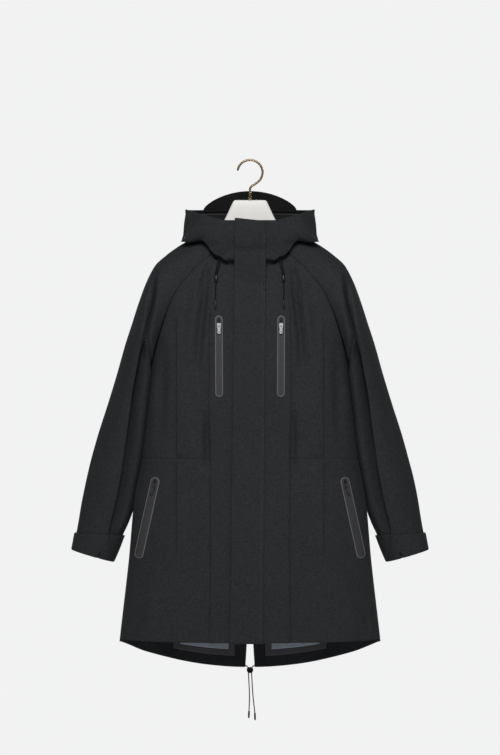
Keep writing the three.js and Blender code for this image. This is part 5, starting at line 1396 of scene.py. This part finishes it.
def cloth_piece(made, replaced, finish, slot="cloth", look=None):
    """Dresses a piece of cloth."""
    dress(made, slot, finish, replaced, look)


def cord(name, route, finish, replaced):
    """A braided cord along a route."""
    path = curve(route, CORD_STEPS)
    made = dress(tube(name, path, CORD_RADIUS, 12, ridges=BRAID), "cord", finish, replaced)


def cords(finish):
    """The cords at the neck and at the vent, each with its bead, aglet, toggle or tip."""
    toggle = dress(turned("toggle_disc", *TOGGLE, TOGGLE_DISC), "fitting", finish, "toggle")
    for side in (-1, 1):
        hand = side_name(side)
        neck, hem = NECK_STRANDS[side], HEM_STRANDS[side]
        bead = dress(turned("bead_turned_" + hand, *neck["bead"], BEAD), "fitting", finish, "bead_" + hand)
        aglet = dress(turned("aglet_turned_" + hand, *neck["aglet"], AGLET), "fitting", finish, "aglet_" + hand)
        tip = dress(turned("hem_aglet_" + hand, *hem["tip"], AGLET), "fitting", finish, "hem_tip_" + hand)
        dress(turned("eyelet_turned_" + hand, *EYELETS[side], EYELET), "fitting", finish, "eyelet_" + hand)
        cord("neck_strand_" + hand, neck["inner"], finish,
             f"neck_cord_{hand}_inner neck_cord_{hand}_tail")
        cord("neck_loop_" + hand, neck["outer"], finish, f"neck_cord_{hand}_outer")
        cord("hem_strand_" + hand, hem["cord"], finish,
             f"hem_cord_{hand}_top hem_cord_{hand}_tail")


def zips(side, finish):
    """The chest's and the hand pocket's zip: its border, its covered coil and its garage."""
    hand = side_name(side)
    for kind in ZIPS:
        dress(zip_border(kind, side), "zip_frame", finish, f"{kind}_zip_frame_{hand}")
        dress(zip_cover(kind, side), "zip_tape", finish, f"{kind}_zip_tape_{hand}")
        dress(zip_garage(kind, side), "zip_frame", finish, look="garage")


def seam_rows(side):
    """Stitched rows on the body's cloth: a name, the places across and the heights."""
    across = np.linspace(0.050, HEM_HALF - 0.004, 300)
    waist = np.linspace(0.0935, 0.236, 200)
    raglan_z = np.linspace(-0.222, -0.452, 200)
    down = np.linspace(-0.345, -1.070, 500)
    yield "hem", "front", across, hem_front_z(across) + 0.020
    yield "waist", "front", waist, np.full_like(waist, WAIST_Z - 0.0035)
    yield "raglan", "front", along(RAGLAN, "front_z", raglan_z, "front_x") - 0.0035, raglan_z
    yield "pleat", "front", pleat_edge(down) - 0.0035, down
    back_z = np.linspace(-0.180, -0.452, 220)
    yield "back_raglan", "back", along(RAGLAN, "back_z", back_z, "back_x") - 0.0035, back_z
    behind = np.linspace(0.014, HEM_HALF - 0.004, 300)
    yield "back_hem", "back", behind, hem_back_z(behind) + 0.020


def stitching(finish):
    """The rows of stitches that show on the outside."""
    v = np.linspace(0.03, 0.995, 500)[:, None]
    for number, u in enumerate(FLAP_STITCHES):
        points, normals = flap_grid(v, np.full((1, 1), u))
        dress(stitches(f"flap_stitches_{number}", points[:, 0], normals[:, 0]), "cloth", finish, look="thread")
    for side in (-1, 1):
        hand = side_name(side)
        for name, face, x, z in seam_rows(side):
            rise = pleat_rise(x, z) if name == "pleat" else 0
            points, normals = torso_at(face, side * x, z, rise)
            dress(stitches(f"{name}_stitches_{hand}", points, normals), "cloth", finish, look="cloth")
        for row in CUFF_STITCHES:
            rows, turn = np.meshgrid([row, row + 0.02], np.radians(np.linspace(3, 177, 260)), indexing="ij")
            points, normals = cuff_places(side, rows, turn)
            name = f"cuff_stitches_{hand}_{round(row * 10)}"
            dress(stitches(name, points[0], normals[0]), "cloth", finish, look="cloth")


def hanger(finish):
    dress(hanger_shape(), "hanger", finish, "hanger_body")
    dress(hook_wire(), "hook", finish, "hanger_hook")
    dress(turned("shaft_turned", *((0, 0, z) for z in SHAFT_Z), SHAFT), "shaft", finish, "hanger_shaft")


def camera():
    data = bpy.data.cameras.new("camera")
    data.sensor_width = SENSOR
    data.lens = SENSOR * CAMERA_DISTANCE / VIEW_HEIGHT
    made = bpy.data.objects.new("camera", data)
    made.location = (0, -CAMERA_DISTANCE, CAMERA_HEIGHT)
    made.rotation_euler = (math.pi / 2, 0, 0)
    data.clip_end = 100
    bpy.context.scene.collection.objects.link(made)
    bpy.context.scene.camera = made


def area_light(name, place, aim, size, power, colour):
    data = bpy.data.lights.new(name, "AREA")
    data.shape = "DISK"
    data.size = size
    data.energy = power
    data.color = colour
    made = bpy.data.objects.new(name, data)
    made.location = place
    made.rotation_euler = (Vector(aim) - Vector(place)).to_track_quat("-Z", "Y").to_euler()
    bpy.context.scene.collection.objects.link(made)


def studio():
    """A pale world, soft lights in front of the garment and a pale round floor well below it."""
    world = bpy.data.worlds.new("pale_studio")
    bpy.context.scene.world = world
    world.use_nodes = True
    tree = world.node_tree
    seen = tree.nodes["Background"]
    seen.inputs["Color"].default_value = (0.885, 0.887, 0.890, 1)
    ambient = node(tree, "Background", None, {"Color": (1, 1, 1, 1), "Strength": AMBIENT})
    chosen = node(tree, "MixShader", None, {0: node(tree, "LightPath").outputs["Is Camera Ray"]})
    tree.links.new(ambient.outputs[0], chosen.inputs[1])
    tree.links.new(seen.outputs[0], chosen.inputs[2])
    tree.links.new(chosen.outputs[0], tree.nodes["World Output"].inputs["Surface"])
    area_light("key", (0, -3.1, 1.5), (0, 0, -0.55), 1.4, 128, (1.0, 0.995, 0.985))
    for side in (-1, 1):
        area_light("fill_" + side_name(side), (side * 2.6, -1.5, 0.1), (0, 0, -0.6), 1.3, 5, (0.98, 0.99, 1.0))
    area_light("behind", (0, 3.1, 0.3), (0, 0, -0.6), 1.6, 95, (1, 1, 1))
    turns = np.linspace(0, 2 * math.pi, 97)[:-1]
    edge = np.stack([FLOOR_RADIUS * np.cos(turns), FLOOR_RADIUS * np.sin(turns), np.full(96, FLOOR_Z)], axis=1)
    floor = new_object("floor", edge, [list(range(96))])
    material, tree, shader = new_material("pale_floor", {"Roughness": 0.9})
    place = node(tree, "TexCoord").outputs["Object"]
    colour = mixed(tree, noise(tree, place, 3, 3), (0.72, 0.72, 0.72), (0.76, 0.76, 0.76))
    tree.links.new(colour, shader.inputs["Base Color"])
    floor.data.materials.append(material)
    bpy.context.scene.view_settings.view_transform = "Standard"


camera()
finish = finishes()
cords(finish)
studio()
for name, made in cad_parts.items():
    made.data.materials.clear()
    made.data.materials.append(finish["zip_metal" if "chest_zip" in name else "dark_pull"])

for side in (-1, 1):
    hand = side_name(side)
    cloth_piece(centre_panel(side), "front_centre_" + hand, finish)
    chest, skirt = side_panels(side)
    cloth_piece(chest, "front_chest_" + hand, finish)
    cloth_piece(skirt, "front_skirt_" + hand, finish)
    cloth_piece(sleeve(side), "sleeve_" + hand, finish)
    cloth_piece(cuff(side), "cuff_" + hand, finish)
    cloth_piece(lining(side), "lining_" + hand, finish, "lining")
    cloth_piece(hem_tape(side), "hem_tape_" + hand, finish, "seam_tape")
    zips(side, finish)
cloth_piece(back_panel(), "back", finish)
cloth_piece(hood(), "hood", finish)
# The brim is the same cloth, given the near-black copy as painted shade
cloth_piece(brim(), "hood_brim", finish, look="inside")
cloth_piece(storm_flap(), "storm_flap", finish)
# The neck band is the same cloth, given the lighter copy as painted light
cloth_piece(inside_hood("neck_band_painted_light", *NECK_BAND_LEVELS), "neck_band", finish, look="band")
# The neck lining keeps the lining slot but takes the brighter copy as painted light
cloth_piece(inside_hood("neck_lining_cloth", *NECK_LINING_LEVELS), "neck_lining", finish, "lining", "pale")
stitching(finish)
hanger(finish)
